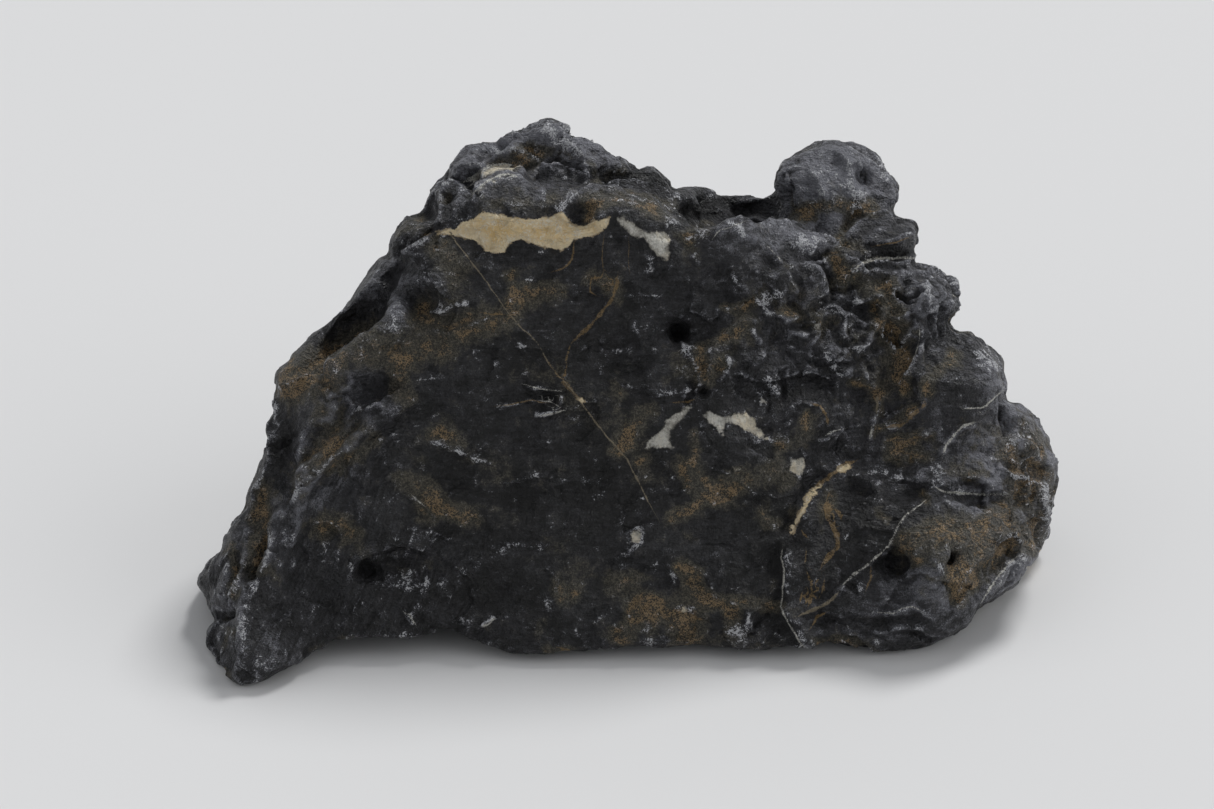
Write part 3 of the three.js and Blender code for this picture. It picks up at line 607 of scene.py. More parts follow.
# Pits and small holes in the face, and low bosses between them: half sizes and depths in millimetres.
PITS = (
    # Hollows that are wide and soft.
    Spot((-118, -43), (4.2, 12), 4.2, -2),
    Spot((-108.6, -18), (4, 13), 3.8, -6),
    Spot((-94, -43), (10, 4.6), 2.2),
    Spot((-72, -54.6), (11, 3.6), 1.2),
    Spot((-77, 36), (8, 5), -2, 42),
    Spot((-128, -84), (3, 7), 1.8, -10),
    Spot((-95, -66), (14, 9), 1.4),
    Spot((61.6, 53), (3, 3.8), 2.6, 20),
    Spot((78.4, 46), (2.6, 4), 2.4, -20),
    Spot((54, 50.5), (5, 2.4), 1, -20),
    Spot((55, 24.4), (5.2, 4.8), 2.2, 0, 3),
    Spot((65, 27), (3, 2.2), 1.4, 0, 3),
    Spot((86, 41), (8, 3.6), 1.4),
    Spot((68, 6), (9, 6), 1.8),
    Spot((84, 13), (6, 4), 1.4, -30),
    Spot((46, 12), (5, 4), 1.2),
    Spot((57, 40), (6, 4), 1.2),
    Spot((44, 35.6), (6, 3.4), 1.2),
    Spot((68, 41), (5, 3.4), 1.2, -30),
    Spot((98, 33), (3.6, 6), 1.6, 10),
    Spot((102, -8), (8, 2), 1, 14),
    Spot((-15, 81), (6, 5), 1.8),
    Spot((-22.6, 77), (3.4, 2.2), 1.8),
    Spot((-8.4, 65), (4.2, 4.8), 3.4, 0, 3),
    Spot((28, 64), (3, 3), 1.6),
    Spot((32, 66.4), (5.4, 4.2), 2.6, 0, 3),
    Spot((33, 72), (9, 2.6), -1.8, 0, 4, True),
    Spot((45, 70), (6, 2.6), -1.2, -12, 4, True),
    Spot((-36, 84), (5, 2.2), 1.2, 20),
    Spot((88, -40), (12, 9), 1.2),
    Spot((54, -8), (3.2, 1.4), 1.8),
    # Pits with walls.
    Spot((24.8, 24), (6.4, 6.4), -1.6, 0, 6),
    Spot((24.8, 24), (3.4, 3.4), 1.1, 0, 4),
    Spot((33, 4.4), (1.6, 2), 3.6, -20, 3),
    Spot((-78, 4.6), (8.4, 5.6), 1.4, 24, 3),
    Spot((-76.4, 3.4), (4, 2.4), -0.9, 30, 2),
    Spot((-78.4, -54.6), (3.2, 2.6), -2.2, 0, 2),
    Spot((-74.6, -55), (8, 2.4), 1.5, 6, 2.5),
    Spot((-63.2, 35), (4.6, 5.6), 2, -25, 2.5),
    Spot((96.5, -53.5), (4.6, 3.2), 1.3, -8, 4),
    Spot((116.6, -51.4), (2.6, 2.6), -1.8, 0, 2),
    Spot((123, -33.4), (7, 2.4), -1.5, 0, 2),
    Spot((124, -26.4), (5, 2.6), -1.2, 0, 2),
    Spot((122.4, -26.6), (1.8, 1.4), 1.8, 0, 4),
    Spot((126.6, -27.4), (2.4, 1.3), 1.2, 0, 3),
    Spot((136.6, -21), (2, 2.2), 1.8, 0, 3),
    Spot((140, -17.6), (2.6, 1.8), 2.2, 0, 3),
    Spot((142.6, -23), (1.8, 1.8), 1.6, 0, 3),
    Spot((87, 77), (1.5, 1.6), 2.2, 0, 4),
    Spot((16.8, 44.8), (3.2, 3), 1, 0, 3),
    Spot((88.4, 31), (4.2, 3.2), 1.8, 0, 3),
    Spot((84, 25), (2.6, 2), 1.6, 0, 3),
    Spot((75, 27), (2.6, 2.4), 1.6, 20, 3),
    Spot((73.6, 35), (2.2, 2.2), 1.4, 0, 3),
    Spot((63, 34), (2.4, 1.8), 1.2, 0, 3),
    Spot((61, 18), (2.4, 2), 1, -30, 3),
    Spot((94, 22), (2, 2.6), 1.4, 0, 3),
    Spot((78, -14), (3, 1.6), 1.4, 20, 3),
    Spot((68, -14), (2.4, 1.6), 1.2, 0, 3),
    Spot((84, -17), (2.4, 1.8), 1.2, 0, 3),
    Spot((58, -14), (2.2, 1.4), 1, 0, 3),
    Spot((98, -20), (2.6, 1.8), 1.2, 0, 3),
    Spot((-48, -49.5), (0.9, 0.9), 1, 0, 3),
    Spot((10.4, -43.4), (1.2, 1), 1.4, 0, 3),
    Spot((12, -56), (1.6, 1.4), 0.9, 0, 3),
    Spot((-28, 1), (3, 1.2), 0.8, 0, 3),
    Spot((-8, 83), (2.2, 1.6), 1.2, 0, 3),
    Spot((-15, 92), (1.6, 1.4), 1.4, 0, 3),
    Spot((70, 71), (3.4, 2.2), 1.2, 20, 2),
    Spot((77, 82), (4, 2.6), 1, 0, 2),
    Spot((91, 72), (2.6, 3.6), 1, 0, 2),
    Spot((5, 14), (6, 4), 0.9, 20, 2),
    Spot((-42, -66), (9, 5), 1, 0, 2),
    Spot((-20, -32), (14, 7), 1, 10, 2),
    Spot((-50, 4), (9, 6), 1, 10, 2),
    Spot((-52, -24), (8, 5), 0.9, 0, 2),
    Spot((48, -40), (8, 8), 1.2, 0, 2),
    Spot((-20, 38), (10, 6), 0.8, -20, 2),
    Spot((-48, 43), (6, 5), 1, -40, 2),
    Spot((36, 46), (6, 5), 1, 0, 2),
    # Notches and knobs of the rim.
    Spot((99.4, 65.6), (2.6, 3.4), 3.2, 0, 2, True),
    Spot((107, 49.6), (3, 2.4), 3, -40, 2, True),
    Spot((119, 28), (2.6, 3), 3.2, 0, 2, True),
    Spot((137.4, 3.4), (2.6, 2.8), 2.6, 0, 2, True),
    Spot((104, 59), (3.4, 4), -1.8, 0, 2, True),
    Spot((117, 41), (3.4, 4), -1.6, 0, 2, True),
    Spot((132, 14), (3.6, 3.6), -1.4, 0, 2, True),
    Spot((144, -5), (3, 3), -1.2, 0, 2, True),
    Spot((-37.6, 88), (2, 2.2), 1.8, 0, 2, True),
    Spot((-11.6, 91), (2.2, 1.8), 1.8, 0, 2, True),
    Spot((11, 78), (2, 2.2), 2, 0, 2, True),
    Spot((16, 80), (4, 2.4), -1.6, 0, 2, True),
    Spot((23.6, 76), (2, 2.6), 2, 0, 2, True),
    Spot((-61, 64.6), (2.4, 2.4), 2.4, 0, 2, True),
    Spot((-67, 61), (3.4, 3.4), -1.4, 0, 2, True),
    Spot((-75.6, 52), (2.2, 2.2), 1.8, 0, 2, True),
    Spot((-56, 78.6), (2.4, 2.4), 1.4, 0, 2, True),
    Spot((-47, 88), (3, 2.4), -1.2, 0, 2, True),
    Spot((-113.6, -6), (2, 3), 1.6, 0, 2, True),
    Spot((-110, 10), (3.2, 3.4), -1.6, 0, 2, True),
    Spot((-124, -34), (2.4, 3.4), 1.4, 0, 2, True),
    Spot((-133, -48), (2.6, 2.6), 1.8, 0, 2, True),
    Spot((-137.6, -60), (2, 2.4), -1.6, 0, 2, True),
    Spot((-135.4, -72.6), (2.4, 2.2), 2.6, 0, 2, True),
    Spot((-100, -84), (3, 2), 1.4, 0, 2, True),
    Spot((146, -55), (3, 2.4), 1.4, 0, 2, True),
    Spot((150, -14), (2.4, 2.4), 1.2, 0, 2, True),
)

# How rough the weathering is in places on the face.
ROUGHNESS_OF_FACE = (
    Spot((-20, -10), (52, 34), 0.3),
    Spot((-30, -50), (75, 22), 0.34),
    Spot((-105, -72), (24, 24), 0.42),
    Spot((-108, -25), (18, 34), 0.5, -15),
    Spot((-88, 34), (26, 10), 0.14, 47),
    Spot((-80, 8), (26, 16), 0.36, 20),
    Spot((-15, 70), (36, 7), 0.4),
    Spot((80, 76), (18, 13), 0.6),
    Spot((48, 55), (12, 7), 0.35),
    Spot((34, 70), (12, 7), 0.2),
    Spot((100, -60), (36, 16), 0.55),
    Spot((80, -45), (18, 16), 0.4),
    Spot((122, 4), (12, 12), 0.22),
    Spot((78, 22), (30, 24), 1.45),
    Spot((112, 36), (10, 16), 1.2),
    Spot((-20, 87), (30, 10), 1.1),
    Spot((140, -33), (14, 24), 1.1),
)

# Where the stone has broken along flat facets rather than weathered into bowls.
BROKEN_AREAS = (
    Spot((-22, 88), (24, 9)),
    Spot((-52, 72), (10, 12), 0.8),
    Spot((-128, -60), (10, 20), 0.5),
    Spot((-105, -22), (14, 26), 0.6),
    Spot((78, 26), (26, 20), 0.5),
    Spot((80, 48), (24, 10), 0.5),
    Spot((112, 36), (12, 16), 0.6),
    Spot((146, -30), (12, 28), 0.9),
    Spot((20, 76), (14, 5), 0.8),
)

# Lenses of calcite that fill cracks, cream where iron has tinted them and white elsewhere.
CREAM_CALCITE = (
    Patch(((-62, 57.4), (-57, 58.8), (-52, 60), (-49, 62), (-45, 64), (-41, 65.3), (-38, 65), (-35, 64),
           (-30, 63), (-26, 62.8), (-22, 63.5), (-19, 63.5), (-17, 64.5), (-15.3, 65.8), (-14, 64),
           (-12.5, 61.5), (-10.5, 60.4), (-8.5, 60.1), (-6, 61), (-4, 62.3), (-1, 63), (1.6, 64.5), (1, 62),
           (-0.5, 59.5), (-3, 58), (-5, 57), (-6.5, 56), (-8, 57), (-11, 56.2), (-12.5, 54), (-15, 52.3),
           (-17, 52.1), (-21, 53.3), (-26, 54.8), (-30, 55.8), (-33, 54.5), (-34.5, 52), (-38, 51), (-41, 52),
           (-43, 54.5), (-47, 56), (-52, 57.6), (-58, 57.6))),
    Patch(((61.6, -44.6), (62, -41), (63.5, -39.3), (65.5, -36), (66.8, -32), (69, -29), (71.5, -27),
           (74, -26.2), (73, -27.8), (71.5, -30), (69.5, -31.4), (68.2, -34), (66.5, -37.5), (65.5, -40),
           (64, -41), (63, -43.5))),
    Patch(((76, -24.6), (76.6, -22.4), (78.4, -21), (81, -20.4), (84, -20.6), (81.6, -22.4), (78.8, -23.4))),
    Patch(((-9.6, 1.6), (-8.2, 2.2), (-7.4, 0.8), (-8.6, 0))),
)
WHITE_CALCITE = (
    Patch(((3, 64), (5.5, 64.5), (9, 61.5), (11, 59.5), (13, 58.5), (16, 58.7), (19.5, 58.3), (21.5, 56),
           (21, 53), (21, 49), (19.5, 48), (16.5, 51), (13.5, 54), (12.5, 56.5), (10, 56.5), (7.5, 57.5),
           (5.5, 60), (3.5, 62))),
    Patch(((12.5, -14.5), (15, -11.5), (18.5, -9), (20.5, -5.5), (23, -3), (26, -1), (30, 0.8), (28, -1.5),
           (26, -4), (24, -7), (21.5, -9), (21.5, -12), (23, -14.8), (19, -14.5), (15.5, -15.2))),
    Patch(((32.8, -2.5), (35, -1.8), (37, -3.5), (40, -3.8), (44, -2.8), (47.5, -2.8), (50, -5), (51.5, -8),
           (54.5, -10.5), (55, -12), (52.5, -12), (49.5, -10), (47, -8.2), (43.5, -7), (40.5, -6), (39, -8),
           (40.5, -12.5), (38.5, -10.5), (36.5, -7.5), (34, -5.5), (32.8, -4))),
    Patch(((-47, 75), (-43.4, 78.4), (-39, 80.6), (-34, 81.2), (-29, 80.6), (-33, 79.7), (-38, 79),
           (-42, 77))),
    Patch(((-45.6, 70.6), (-42.6, 74), (-38.4, 76.8), (-34, 77.6), (-37.6, 75.9), (-41.4, 73))),
    Patch(((84, 46.4), (87.4, 49), (92, 50.2), (98, 50.1), (93, 49.1), (88, 48))),
    Patch(((50, 2.4), (52, 2.2), (54.5, 0), (52.4, 0))),
    Patch(((62, -18.8), (66.4, -18.4), (67, -20.6), (66.2, -24), (64, -23), (61.6, -21.4))),
    Patch(((7.6, -44.6), (8.6, -43), (11.4, -42.2), (11.6, -45), (10.4, -47.2), (8.4, -46.6))),
    Patch(((24.6, -69.2), (26.4, -68.2), (28, -69), (27, -70.4), (25.2, -70.4))),
    Patch(((41, -20.4), (43.4, -22), (46, -21.6), (44.6, -23), (42, -23))),
    Patch(((12, -83), (14, -82.4), (15, -84), (13, -85))),
    Patch(((70.4, 27.4), (72, 27.6), (72.4, 25.4), (71, 25))),
    Patch(((87.4, 49), (89, 50), (91.4, 49.6), (90, 48.8))),
)

# Threads of calcite and iron oxide that cross the face. Long ones that meet are in separate sets, because
# each point of the skin keeps only its nearest thread of a set.
PALE_THREADS = (
    Line(((59.5, -48), (59, -52), (59.8, -56), (60, -60), (59.4, -64), (58.8, -68), (59.6, -71), (61.5, -74),
          (63.5, -77), (65, -80), (68, -84)), 0.25, 1, tail=0.04),
    Line(((78.6, -63.4), (80, -61), (83, -58), (87, -55.5), (91, -52), (95, -48.5), (97, -45), (98.5, -41),
          (101, -38), (104, -35.5), (106, -34), (109, -31.6)), 0.35),
    Line(((83.6, 45.6), (87, 48.4), (91, 49.6), (97, 49.6), (104.6, 49.6)), 0.39, 1, tail=0.05),
    Line(((141, -50), (136, -54), (132, -59), (129, -64), (126.6, -67.6)), 0.35, 0.8),
    Line(((121, -1.4), (128, -1), (131, 2), (134.6, 5)), 0.24),
    Line(((113.4, -18.4), (115, -14), (118, -10), (121, -7), (126, -6)), 0.32),
    Line(((110.2, -26.8), (113, -29), (117, -30), (122, -30.2), (129, -30.6), (137, -30.5)), 0.32, 0.9),
    Line(((-49.5, 75), (-45, 77), (-42.5, 79.5), (-40, 80.7), (-35, 81.2), (-31, 81)), 0.63, 0.9),
    Line(((-47, 69.5), (-44.5, 72.5), (-41, 75.5), (-37.5, 77.5), (-34, 78), (-29, 77)), 0.56, 0.7),
    Line(((74, -11), (77, -9), (80.4, -8)), 0.24),
    Line(((-28.6, 6.6), (-24, 5.5), (-18, 4.7), (-14.5, 4.5)), 0.24),
    Line(((-23, 1.6), (-18, 0.4), (-13.8, -2.2)), 0.22, 0.7),
    Line(((-23.4, -3.9), (-18, -3), (-13.8, -1)), 0.34, 0.8),
    Line(((-66, -31), (-63.6, -33), (-61.6, -35)), 0.21),
    Line(((91, -70.5), (97, -71), (100, -69), (104, -68.5), (108, -71)), 0.24, 0.8),
    Line(((-69, -70), (-67, -71.6), (-65, -74.6)), 0.35),
    Line(((-42.4, -75.4), (-40.4, -74.4), (-37.8, -72.4)), 0.28),
    Line(((36, 56.4), (38, 59), (43, 60.6), (46.5, 62)), 0.24, 0.7),
    Line(((89, -12), (90, -8)), 0.35, 0.8),
    Line(((54.6, 53.6), (57.6, 50.4), (59.4, 48.4)), 0.28, 0.8),
    Line(((106, 26), (105.6, 20), (103, 13)), 0.24, 0.5),
)
CROSSING_THREADS = (
    Line(((-53.5, 58.4), (-48, 51), (-43.5, 45), (-40.5, 41), (-33, 30.5), (-28, 25), (-23, 20.5),
          (-19.5, 13)), 0.19, 1, tail=0.02),
    Line(((-19.5, 13), (-14, 7), (-8.5, 0.5), (-4, -6), (1.5, -12.5), (6, -17.5), (8.5, -22), (11.5, -27.5),
          (14, -33), (17.5, -39)), 0.27, 1, tail=0.24),
    Line(((64.5, -71.5), (70, -69.5), (75, -67), (79, -63.4)), 0.45, 1, tail=0.1),
    Line(((92, 3), (91.5, -3)), 0.48, 0.8),
)
OCHRE_THREADS = (
    Line(((3.5, 44), (3.2, 40), (2, 36), (-1.5, 31.5), (-5, 27.5), (-9, 24), (-12, 21)), 0.5, 1, tail=0.1),
    Line(((-12, 21), (-13.4, 17.8), (-14, 15), (-14, 12.4), (-14.6, 8.4)), 0.3, 0.8),
    Line(((3, 42), (-1, 43.4), (-5.4, 42.4), (-6, 38.6), (-3.4, 36.6)), 0.3, 0.7),
    Line(((-15, 8), (-18, 11.4), (-21.6, 17)), 0.26, 0.7),
    Line(((-17, 9.6), (-13, 5.6), (-8.5, 0.6)), 0.59),
    Line(((75, -31), (74, -34), (75, -38), (77, -42), (78, -45), (78.5, -48), (76, -50.5), (73.5, -53.5),
          (72.4, -56)), 0.72, 1, tail=0.08),
    Line(((77, -35), (79.6, -38.4)), 0.65),
    Line(((69.4, -30), (73, -26.4), (77, -23), (82, -20), (85, -18.6)), 0.7),
    Line(((67.5, -50), (67, -53.4)), 0.45, 0.8),
    Line(((67.5, -56), (69, -60), (69.5, -64), (68, -69)), 0.49),
    Line(((66.4, -63.4), (65.4, -66.8)), 0.33, 0.9),
    Line(((74, -58.6), (73, -63), (72, -65.6)), 0.39, 0.9),
    Line(((89.4, -55), (89.6, -59), (88, -63)), 0.39, 0.9),
    Line(((69, -76), (71, -72), (74.4, -70.4)), 0.39, 0.9),
    Line(((66, -42.6), (68, -45)), 0.33, 0.8),
    Line(((-10.9, 55.6), (-11.6, 49.4), (-14.7, 46.4), (-18.6, 44.8)), 0.32, 0.8),
    Line(((-1, 57), (-1.8, 50), (-1.2, 44)), 0.2, 0.5),
    Line(((7.6, 56), (7.2, 50), (7.8, 45)), 0.18, 0.4),
    Line(((-43.4, 31.2), (-38, 30.6), (-32, 30.4)), 0.33, 0.8),
    Line(((-38, -0.5), (-30, 0.5), (-25, 1.5), (-20, 0.5)), 0.24, 0.6),
    Line(((69, 0.5), (72, -0.5), (74, -3), (75, -7)), 0.39),
    Line(((108.4, 4), (107, -1), (103.5, -4), (100, -7), (94, -7.6)), 0.59, 0.9),
    Line(((98, -13), (102, -12), (107, -10.5)), 0.45, 0.8),
    Line(((90, 53.6), (98, 55), (103, 57)), 0.33, 0.7),
    Line(((22, 0.6), (26, 1), (30, 1.6)), 0.39, 0.8),
    Line(((-17, -82), (-13, -84), (-9, -85)), 0.59, 0.8),
)

# Where iron oxide has settled as a rusty dust: the thin wide films, then the spots where it is thick. One
# short dark one beside the bulge is partly painted shade in its groove.
OCHRE_STAINS_AND_GROOVE_SHADE = (
    Line(((-56, -10), (-46, -18), (-34, -24)), 6, 0.36),
    Line(((-66, -26), (-52, -34), (-34, -38)), 7, 0.26),
    Line(((-106, -38), (-94, -44), (-84, -48)), 5, 0.32),
    Line(((-30, 14), (-16, 8), (-4, -8)), 6, 0.42),
    Line(((-18, -48), (-8, -58), (4, -64)), 6, 0.34),
    Line(((2, 10), (8, -8), (12, -24)), 6, 0.36),
    Line(((26, 16), (36, 12), (46, 22)), 6, 0.36),
    Line(((24, -22), (36, -30), (50, -24)), 6, 0.32),
    Line(((56, -30), (62, -14), (72, -4)), 5, 0.36),
    Line(((10, -84), (40, -82), (60, -84)), 5, 0.3),
    Line(((-108, 8), (-94, 2), (-96, -14), (-106, -28)), 8, 0.4),
    Line(((-84, 22), (-66, 28), (-52, 42), (-56, 52)), 7, 0.45),
    Line(((-44, 69), (-20, 69), (4, 70), (20, 67)), 4, 0.5),
    Line(((-40, 80), (-26, 85), (-12, 86)), 4, 0.4),
    Line(((54, 40), (66, 32), (80, 24), (92, 12)), 9, 0.34),
    Line(((64, 64), (78, 67), (90, 66)), 4, 0.5),
    Line(((82, 42), (92, 36), (100, 22), (98, 8)), 5, 0.6),
    Line(((100, -14), (116, -18), (132, -10)), 7, 0.4),
    Line(((112, -50), (130, -38), (146, -20)), 11, 0.38),
    Line(((118, -62), (130, -56), (140, -44)), 7, 0.5),
    Line(((-5, 42), (1, 42), (3, 36)), 3, 0.8),
    Line(((-112, 7), (-104, 11), (-96, 13)), 5.5, 1.1, tail=0.05),
    Line(((-96, 13), (-86, 17), (-76, 18), (-66, 17), (-56, 20), (-46, 24)), 5.6, 0.54, tail=0.05),
    Line(((-70, 14), (-72, 4), (-68, 1)), 4, 0.7),
    Line(((-50, 26), (-42, 28), (-34, 27)), 4.5, 0.8),
    Line(((-33, 45), (-32.6, 38), (-31, 31)), 2.4),
    Line(((-31, 33), (-26, 35), (-19, 39)), 4, 0.95),
    Line(((-63, 31), (-60, 28), (-56, 27)), 2.4, 0.6),
    Line(((-117, -30), (-117, -38), (-118, -46), (-119, -54)), 4),
    Line(((-128, -50), (-126, -58), (-127, -64)), 1.8, 0.8),
    Line(((-98, -19), (-92, -12), (-84, -7)), 3.4, 0.6),
    Line(((-94, -22), (-84, -16), (-78, -10)), 3, 0.55),
    Line(((-96, -42), (-90, -40), (-86, -43)), 3.6, 0.7),
    Line(((-60, -33), (-55, -37), (-47, -39)), 4.6, 0.85),
    Line(((-70, -26), (-60, -28)), 4, 0.5),
    Line(((-56, -10), (-52, -11)), 2.6, 0.8),
    Line(((-66, -16), (-62, -20)), 2.6, 0.5),
    Line(((7, -11), (10, -6), (14, -1)), 2.6, 0.9),
    Line(((2, -15), (6, -14)), 2.4, 0.8),
    Line(((10, -20), (13, -19)), 2.4, 0.8),
    Line(((2, 7), (5, 4)), 2, 0.7),
    Line(((29, -9), (29.4, -18)), 2, 0.9),
    Line(((26, -22), (27, -28)), 2.6, 0.8),
    Line(((32, -23), (35, -27)), 2.4, 0.8),
    Line(((47, -25), (40, -30), (32, -34), (23, -38)), 3),
    Line(((33, 20), (33.4, 12)), 2.2, 0.95),
    Line(((38.6, 14), (35.4, 7)), 1.8, 1.1),
    Line(((38, 22), (43, 25), (47, 29)), 2.4, 0.9),
    Line(((38, 31.6), (44, 33), (50, 34.4)), 1.8, 0.8),
    Line(((22, 8), (26, 10), (30, 8)), 2.4, 0.6),
    Line(((12, -67), (8, -73), (4, -79)), 3.4, 1.5, tail=0.05),
    Line(((17, -67), (15, -74)), 3.2, 1.35, tail=0.05),
    Line(((25, -55), (29, -58), (31, -63), (35, -67)), 3.4, 1.35, tail=0.05),
    Line(((24, -73), (27, -78), (24, -85)), 3.4, 1.4, tail=0.05),
    Line(((29, -70), (31, -74)), 3, 0.8),
    Line(((41, -67), (48, -67), (58, -68)), 3.2, 0.95),
    Line(((42, -70), (43, -77)), 3, 0.9),
    Line(((-17, -62), (-13, -66)), 3.4, 0.8),
    Line(((2, -61), (9, -59)), 3.4, 0.7),
    Line(((-22, -72), (-24, -78)), 2.4, 0.7),
    Line(((-20, -83), (-8, -85)), 2, 0.7),
    Line(((76, 50), (78.6, 46), (79, 42)), 2.6, 1.05),
    Line(((80, 53), (86, 53)), 2.6, 0.7),
    Line(((82, 60), (80, 56)), 2.4, 0.7),
    Line(((66, 65), (76, 66), (88, 67)), 2.4, 0.8),
    Line(((94, 40), (95, 33), (94, 27)), 3.4, 1.05),
    Line(((98, 30), (97, 22)), 2.4, 0.9),
    Line(((100, 18), (101, 10), (101, 4)), 2.2, 0.8),
    Line(((60, 31), (64, 30)), 2, 0.8),
    Line(((70, 30), (72, 25)), 2, 0.7),
    Line(((84, 8), (92, 4)), 1.8, 0.8),
    Line(((92, 3), (92, -3)), 1.4),
    Line(((118, 17), (112, 11), (108, 5)), 2.6),
    Line(((106, 0), (99.3, -6), (92, -8)), 1.8, 0.9),
    Line(((109, -10), (97, -13)), 1.8, 0.8),
    Line(((96, -17), (106, -19)), 3, 0.7),
    Line(((67, -3), (66, -8)), 1.8, 0.9),
    Line(((53, -36), (55, -40)), 2.6),
    # Partly rust and partly painted shade: the dark brown in the groove at the bulge's left side.
    Line(((61, -42), (63, -36)), 2, 0.7),
    Line(((56, -22), (62, -26)), 3, 0.6),
    Line(((60, -13), (58, -16)), 2.4, 0.7),
    Line(((75, -32), (74, -35)), 2.6, 1.1),
    Line(((93, -37), (95, -39)), 2, 0.9),
    Line(((107, -33), (108, -31)), 1.8, 0.9),
    Line(((100, -46), (105, -43), (110, -42)), 3.6, 0.95),
    Line(((101, -50), (106, -53.4)), 2.6, 0.95),
    Line(((112, -45), (122, -43), (132, -37), (140, -32)), 4, 0.75),
    Line(((120, -56), (126, -50), (134, -44)), 4.4, 0.9),
    Line(((121, -66), (121, -60)), 2.8, 0.9),
    Line(((122, -24.6), (128, -24)), 1.6, 0.8),
    Line(((142, -5), (147, -14)), 3, 0.4),
    Line(((145, -14), (149, -28), (148, -40), (144, -50)), 3.4, 0.7),
    Line(((136, -16), (141, -28)), 3.4, 0.8),
    Line(((73, -81), (82, -81), (92, -84)), 2.4, 1.1),
    Line(((28, 58), (33, 61)), 2.6, 0.8),
    Line(((24, 58), (27, 53)), 2.4, 0.5),
    Line(((-24, 84), (-22, 87), (-26, 84)), 2.2, 0.8),
    Line(((-5, 82), (-3, 77), (4, 79)), 2.6, 0.6),
    Line(((-4, 69), (-6, 64)), 2.6, 0.9),
    Line(((-71, 58), (-64, 62)), 2.6, 0.8),
    Line(((-55, 69), (-54, 72)), 1.8, 0.8),
    Line(((-29, 86), (-31, 83)), 2.6, 0.5),
    Line(((3, 70), (12, 68), (20, 66)), 3, 0.5),
    Line(((-56, 50), (-50, 48)), 4, 0.5),
    Line(((-129, -82), (-127, -76)), 1.8, 0.8),
    Line(((-132, -90), (-128, -93)), 1.6, 0.8),
    Line(((-101, -84), (-88, -80)), 2, 0.7),
)
